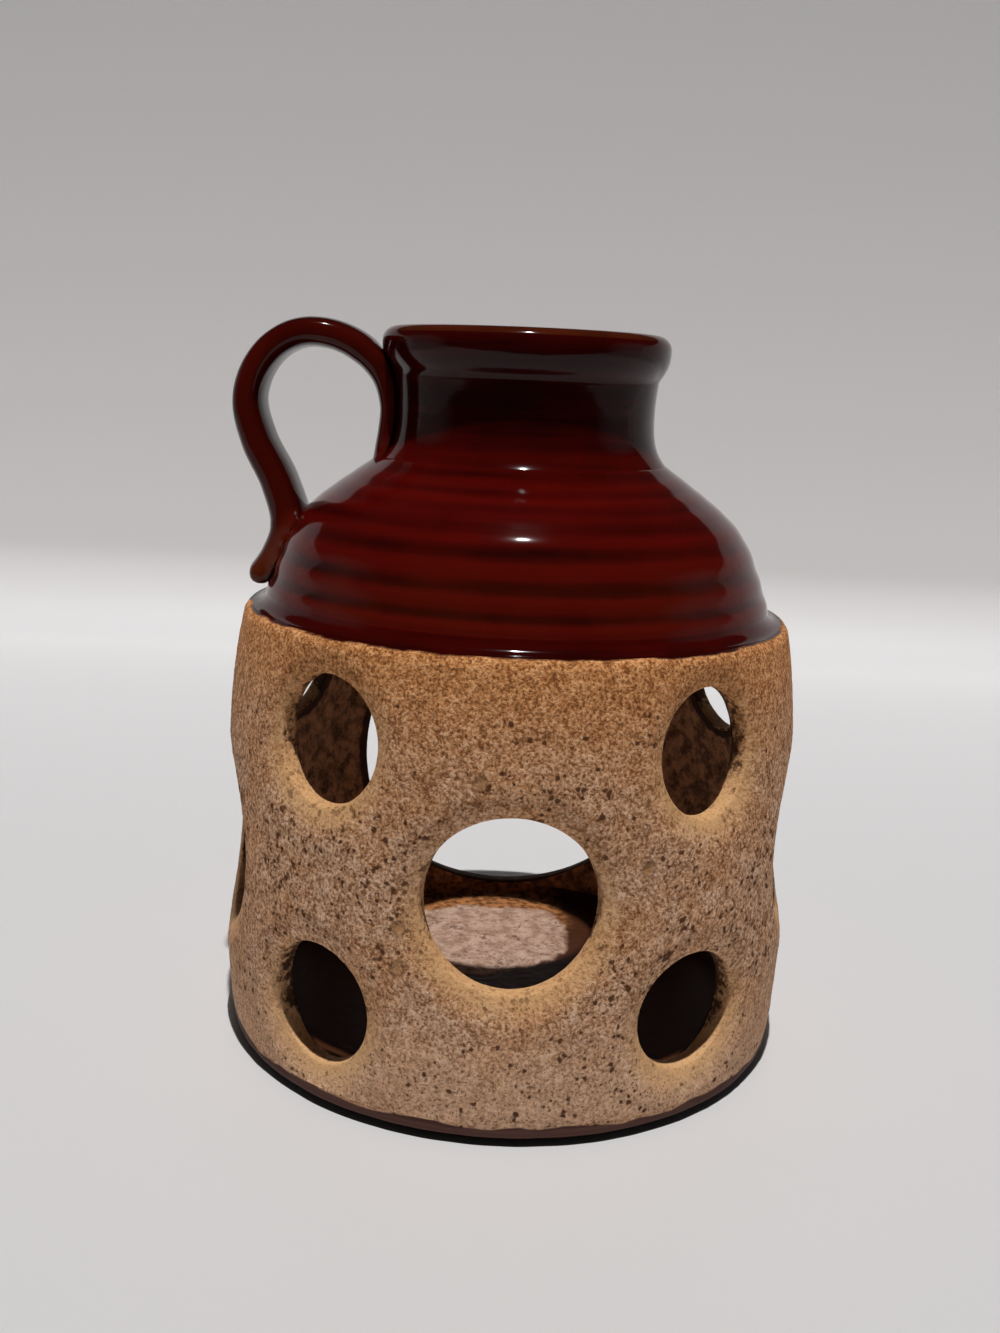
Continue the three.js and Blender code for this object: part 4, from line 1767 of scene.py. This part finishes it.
@dataclass
class RolledRim(Piece):
    """Rolled lip round the mouth.

    The glaze is thin on its crest, from crest_start steps up the roll to crest_stop steps
    before the bore.
    """

    steps: int = 26
    mouth_steps: int = 10
    bore_steps: int = 6
    pool_depth: float = 0.85
    crest_thin: float = 0.30
    crest_start: int = 10
    crest_stop: int = 4

    def build(self) -> bpy.types.Object:
        """Make the rim.

        Returns:
            The new piece.
        """
        sizes = self.sizes
        outside = sizes.rim_outside(self.steps)
        middle = (sizes.bore_radius + sizes.mouth_round, sizes.rim_top - sizes.mouth_round)
        mouth = arc_outline(*middle, sizes.mouth_round, 90, 180, self.mouth_steps)
        down = np.linspace(mouth[-1, 1], sizes.rim_seat, self.bore_steps + 1)[1:]
        bore = np.stack([np.full(len(down), sizes.bore_radius), down], axis=-1)
        outline = np.concatenate([outside, mouth, bore])
        pool = np.full(len(outline), self.pool_depth)
        thin = np.zeros(len(outline))
        crest_end = len(outside) + len(mouth) - self.crest_stop
        thin[self.steps + self.crest_start:crest_end] = self.crest_thin
        skin = turned_skin(outline, sizes.sides, {"pool": pool, "thin": thin})
        return skin.to_object(self.name, sizes.thrown_wobble(skin.all_points()))


@dataclass
class PulledHandle(Piece):
    """Strap handle: from the neck over a round loop to a rolled tail on the shoulder."""

    top: float = 172.4
    crown: float = 54.0
    reach: float = 73.8
    reach_height: float = 150.4
    thickness: float = 7.8
    width: float = 19.0
    root_thickness: float = 4.8
    root_rise: float = 0.6
    root_sink: float = 1.6
    seat_height: float = 119.5
    seat_thickness: float = 9.2
    proud: float = 5.6
    tail_height: float = 105.4
    tail_thickness: float = 6.0
    tail_flick: float = 0.9
    knee_tuck: float = 1.2
    gap: float = 0.3
    root_cover: float = 0.125
    root_steps: int = 2
    loop_steps: int = 7
    descent: Triple = (0.32, 0.66, 1.0)
    squareness: float = 0.66
    section_sides: int = 40
    steps: int = 230
    end_length: float = 2.6
    end_least: float = 0.02
    end_narrowing: float = 2.2
    edge_power: int = 6
    edge_thin: float = 0.10
    tail_thin: float = 0.50
    tail_fade: float = 4.0
    edge_pool: float = 0.22
    face_pool: float = 0.78
    face_power: float = 1.5
    fillet: float = 3.2
    fillet_reach: float = 1.5
    fillet_limit: float = 7.0
    fillet_band: Span = (2.0, 8.0)
    wander: float = 0.25
    wander_length: float = 25.0

    def face(self, height: float) -> float:
        """Return how far out the strap's outer face lies along the shoulder."""
        return float(self.sizes.top_radius(np.array(height))) + self.proud

    def line(self) -> tuple[np.ndarray, np.ndarray]:
        """Guide points of the strap's middle line.

        Returns:
            Outward distance and height of each point, and the thickness there.
        """
        sizes = self.sizes
        foot = sizes.neck_seat + self.root_rise
        cover = self.root_thickness * self.root_cover
        root, low_root = (
            float(sizes.neck_radius(np.array(height))) + self.gap + cover
            for height in (self.reach_height, foot)
        )
        crest = self.top - self.thickness / 2
        reach = self.reach - self.thickness / 2
        seat = self.face(self.seat_height) - self.seat_thickness / 2
        tail = self.face(self.tail_height) + self.tail_flick - self.tail_thickness / 2
        points = [(low_root - self.root_sink, foot - self.root_sink)]
        thick = [self.root_thickness]
        for step in range(self.loop_steps + 1):
            angle = math.pi * step / self.loop_steps
            side = self.crown - root if angle < math.pi / 2 else reach - self.crown
            rise = (crest - self.reach_height) * math.sin(angle)
            points.append((self.crown - side * math.cos(angle), self.reach_height + rise))
            grown = min(1.0, step / self.root_steps)
            thick.append(self.root_thickness + (self.thickness - self.root_thickness) * grown)
        for share in self.descent:
            ease = share * share * (3 - 2 * share)
            rise = (self.seat_height - self.reach_height) * share
            points.append((reach + (seat - reach) * ease, self.reach_height + rise))
            thick.append(self.thickness + (self.seat_thickness - self.thickness) * share)
        knee = (self.seat_height + self.tail_height) / 2
        points.append((self.face(knee) - self.knee_tuck - self.thickness / 2, knee))
        points.append((tail, self.tail_height))
        thick.extend([self.thickness, self.tail_thickness])
        return np.array(points), np.array(thick)

    def curve(self, points: np.ndarray) -> np.ndarray:
        """Smooth line through the guide points.

        Args:
            points: Guide points.

        Returns:
            Points at even steps of the guide.
        """
        head, foot = 2 * points[0] - points[1], 2 * points[-1] - points[-2]
        padded = np.concatenate([[head], points, [foot]])
        result = []
        for spot in np.linspace(0.0, len(points) - 1, self.steps + 1):
            number = min(int(spot), len(points) - 2)
            share = spot - number
            guide = padded[number:number + 4]
            before, start, stop, after = guide
            near, span, far = (
                max(np.linalg.norm(b - a) ** 0.5, LEAST_GAP) for a, b in zip(guide, guide[1:])
            )
            pace = (stop - start) / span
            pull_start = ((start - before) / near - (stop - before) / (near + span) + pace) * span
            pull_stop = (pace - (after - start) / (span + far) + (after - stop) / far) * span
            square, cube = share**2, share**3
            result.append(
                (2 * cube - 3 * square + 1) * start
                + (cube - 2 * square + share) * pull_start
                + (3 * square - 2 * cube) * stop
                + (cube - square) * pull_stop
            )
        return np.array(result)

    def build(self) -> bpy.types.Object:
        """Make the strap with its rounded ends and the fillets that join it to the pot.

        Returns:
            The new piece.
        """
        guide, thick = self.line()
        middle = self.curve(guide)
        spots = np.linspace(0.0, len(guide) - 1, self.steps + 1)
        thickness = np.interp(spots, np.arange(len(guide)), thick)
        run = np.concatenate([[0.0], np.cumsum(np.linalg.norm(np.diff(middle, axis=0), axis=1))])
        along = np.gradient(middle, run, axis=0)
        along /= np.linalg.norm(along, axis=1)[:, None]
        away = np.stack([-along[:, 1], along[:, 0]], axis=-1)
        angle = TURN * (np.arange(self.section_sides) + 0.5) / self.section_sides
        across, lift = (
            np.sign(wave) * np.abs(wave) ** self.squareness
            for wave in (np.cos(angle), np.sin(angle))
        )
        to_end = np.clip((run[-1] - run) / self.end_length, 0.0, 1.0)
        rounded = np.sqrt(1.0 - (1.0 - to_end) ** 2) * (1.0 - self.end_least) + self.end_least
        pool = self.edge_pool + self.face_pool * np.abs(lift) ** self.face_power
        tail_start = self.seat_height + self.tail_fade
        skin = Skin()
        rings = []
        for number in range(self.steps + 1):
            half = thickness[number] / 2 * rounded[number]
            half_width = self.width / 2 - (1.0 - rounded[number]) * self.end_narrowing
            flat = middle[number] - away[number] * (lift * half)[:, None]
            place = np.stack([-flat[:, 0], across * half_width, flat[:, 1]], axis=-1)
            tail = smooth_step(middle[number, 1], tail_start, self.tail_height)
            lower = tail if number > self.steps / 2 else 0.0
            thin = np.abs(across) ** self.edge_power * (self.edge_thin + self.tail_thin * lower)
            rings.append(skin.add_points(place, thin=thin, pool=pool))
        for lower, upper in zip(rings, rings[1:]):
            skin.join_rings(lower, upper)
        skin.faces.append(tuple(int(i) for i in rings[0][::-1]))
        skin.faces.append(tuple(int(i) for i in rings[-1]))
        return skin.to_object(self.name, self.lute(skin.all_points()))

    def lute(self, points: np.ndarray) -> np.ndarray:
        """Spread the strap where it meets the pot, as smoothed clay and glaze do.

        Args:
            points: Places of the plain strap.

        Returns:
            The spread places.
        """
        pot = self.sizes.top_radius(points[:, 2])
        clear = np.hypot(points[:, 0], points[:, 1]) - pot
        spread = self.fillet * np.exp(-np.clip(clear, 0.0, None) / self.fillet_reach)
        spread = spread * (clear < self.fillet_limit)
        side = points[:, 1]
        moved = points.copy()
        moved[:, 1] += np.sign(side) * spread * smooth_step(np.abs(side), *self.fillet_band)
        moved[:, 1] += self.wander * wave_noise(points, self.wander_length, Seed.STRAP)
        return moved


# Studio


@dataclass(frozen=True)
class Studio:
    """Pale floor with a curved backdrop, one high key light, soft fill and the camera.

    The floor's lengths are metres.
    """

    camera_mm: Triple = (-6.49, -345.0, 158.9)
    focal_px: float = 1350.0
    frame_px: tuple[int, int] = (1000, 1333)
    axis_px: Span = (500.0, 377.0)
    roll_degrees: float = 2.4
    sensor_mm: float = 36.0
    clip_start: float = 0.01
    key_elevation: float = 77.6
    key_azimuth: float = 3.0
    key_strength: float = 2.98
    key_spread: float = 1.0
    fill_front: float = 0.018
    fill_side: float = 0.22
    fill_side_start: float = 0.87
    backdrop: float = 0.50
    floor_front: float = -0.45
    floor_bend: float = 0.41
    floor_reach: float = 2.6
    bend_radius: float = 0.05
    bend_steps: int = 16
    wall_top: float = 0.42
    far_distances: Ease = Ease(560.0, 900.0)
    floor_roughness: float = 0.6
    floor_colour: Colour = (0.65, 0.638, 0.638, 1)
    far_colour: Colour = (0.34, 0.335, 0.335, 1)
    wall_colour: Colour = (0.95, 0.925, 0.915, 1)

    def camera(self) -> None:
        """Place the camera where the photograph was taken from."""
        data = bpy.data.cameras.new("camera")
        width, height = self.frame_px
        data.sensor_fit = "VERTICAL"
        data.sensor_height = self.sensor_mm
        data.sensor_width = self.sensor_mm * width / height
        data.lens = self.sensor_mm * self.focal_px / height
        data.shift_x = (width / 2 - self.axis_px[0]) / height
        data.shift_y = (self.axis_px[1] - height / 2) / height
        data.clip_start = self.clip_start
        camera = bpy.data.objects.new("camera", data)
        level = Matrix.Rotation(math.pi / 2, 4, "X")
        roll = Matrix.Rotation(math.radians(self.roll_degrees), 4, "Z")
        spot = Matrix.Translation(Vector(self.camera_mm) * MM)
        camera.matrix_world = spot @ (level @ roll)
        bpy.context.scene.collection.objects.link(camera)
        bpy.context.scene.camera = camera

    def lights(self) -> None:
        """Add the key light and the soft light of the room."""
        data = bpy.data.lights.new("key", "SUN")
        data.energy = self.key_strength
        data.angle = math.radians(self.key_spread)
        key = bpy.data.objects.new("key", data)
        up, side = math.radians(self.key_elevation), math.radians(self.key_azimuth)
        flat = math.cos(up)
        towards = Vector((math.sin(side) * flat, -math.cos(side) * flat, math.sin(up)))
        key.rotation_euler = towards.to_track_quat("Z", "Y").to_euler()
        bpy.context.scene.collection.objects.link(key)
        self.room()

    def room(self) -> None:
        """Add the soft light of the room, stronger from both sides, before an even backdrop."""
        world = bpy.data.worlds.new("room")
        world.use_nodes = True
        world.node_tree.nodes.clear()
        sheet = NodeSheet(world.node_tree)
        seen = sheet.add("ShaderNodeLightPath").outputs["Is Camera Ray"]
        way = sheet.add("ShaderNodeTexCoord").outputs["Generated"]
        side_on = sheet.add("ShaderNodeSeparateXYZ", {0: way}).outputs["X"]
        side_on = sheet.math("ABSOLUTE", side_on)
        fill = Ease(self.fill_side_start, 1.0, self.fill_front, self.fill_side)
        shade = sheet.mix(seen, sheet.step(side_on, fill), (self.backdrop,) * 3 + (1,))
        sky = sheet.add("ShaderNodeBackground", {"Color": shade, "Strength": 1.0})
        sheet.add("ShaderNodeOutputWorld", {"Surface": sky.outputs[0]})
        bpy.context.scene.world = world

    def board(self) -> bpy.types.Material:
        """Make the material of the floor: greyer far off, pale up the backdrop, clear from behind.

        Returns:
            The finished material.
        """
        material = bpy.data.materials.new("pale_board")
        material.use_nodes = True
        nodes = material.node_tree.nodes
        sheet = NodeSheet(material.node_tree)
        shader = nodes["Principled BSDF"]
        shader.inputs["Roughness"].default_value = self.floor_roughness
        place = sheet.place()
        far = sheet.step(sheet.away(place, CENTRE), self.far_distances)
        board = sheet.mix(far, self.floor_colour, self.far_colour)
        rise = sheet.step(sheet.height_of(place), Ease(0.0, self.bend_radius / MM))
        sheet.feed(shader.inputs["Base Color"], sheet.mix(rise, board, self.wall_colour))
        back = sheet.add("ShaderNodeNewGeometry").outputs["Backfacing"]
        clear = sheet.add("ShaderNodeBsdfTransparent").outputs[0]
        surface = sheet.add("ShaderNodeMixShader", {0: back, 1: shader.outputs[0], 2: clear})
        sheet.feed(nodes["Material Output"].inputs["Surface"], surface.outputs[0])
        return material

    def floor(self) -> bpy.types.Object:
        """Make the floor that curves up into a backdrop.

        Returns:
            The stage piece.
        """
        bend, radius = self.floor_bend, self.bend_radius
        profile = [(self.floor_front, 0.0), (bend, 0.0)]
        for step in range(1, self.bend_steps + 1):
            angle = math.pi / 2 * step / self.bend_steps
            profile.append((bend + radius * math.sin(angle), radius * (1.0 - math.cos(angle))))
        profile.append((bend + radius, self.wall_top))
        sides = (-self.floor_reach, self.floor_reach)
        places = [(x, y, z) for y, z in profile for x in sides]
        strips = range(len(profile) - 1)
        faces = [(2 * i, 2 * i + 1, 2 * i + 3, 2 * i + 2) for i in strips]
        mesh = bpy.data.meshes.new("floor")
        mesh.from_pydata(places, [], faces)
        mesh.polygons.foreach_set("use_smooth", [True] * len(mesh.polygons))
        mesh.materials.append(self.board())
        floor = bpy.data.objects.new("floor", mesh)
        bpy.context.scene.collection.objects.link(floor)
        return floor


def make_pieces() -> list[Piece]:
    """Return the pieces of the pot in the order they are built."""
    sizes = PotSizes()
    lava = LavaFinish("drum_lava", Slot.LAVA, bump_mm=0.55)
    clay = FloorFinish("base_clay", Slot.CLAY, bump_mm=0.5, shine=0.05)
    red = RedFinish("top_glaze", Slot.RED, bump_mm=0.09)
    strap = RedFinish("handle_glaze", Slot.RED, bump_mm=0.10, rings=0.25)
    return [
        BasePlate(sizes, clay, "base_plate", "floor_slab"),
        PiercedDrum(sizes, lava, "drum", "pierced_drum"),
        RibbedShoulder(sizes, red, "shoulder", "shoulder_dome"),
        WaistedNeck(sizes, red, "neck", "neck_collar"),
        RolledRim(sizes, red, "rim", "rim_lip"),
        PulledHandle(sizes, strap, "handle", "handle_strap"),
    ]


def main() -> None:
    """Build the studio and the pieces, and report each one."""
    logging.basicConfig(level=logging.INFO, format="%(name)s: %(message)s")
    bpy.context.scene.view_settings.view_transform = "Standard"
    studio = Studio()
    studio.camera()
    studio.lights()
    studio.floor()
    materials: dict[str, bpy.types.Material] = {}
    for piece in make_pieces():
        made = piece.build()
        if piece.finish.name not in materials:
            materials[piece.finish.name] = piece.finish.material()
        piece.dress(made, materials[piece.finish.name])
        log.info("%s: %d faces, finish %s", piece.name, len(made.data.polygons), piece.finish.name)


if __name__ == "__main__":
    main()
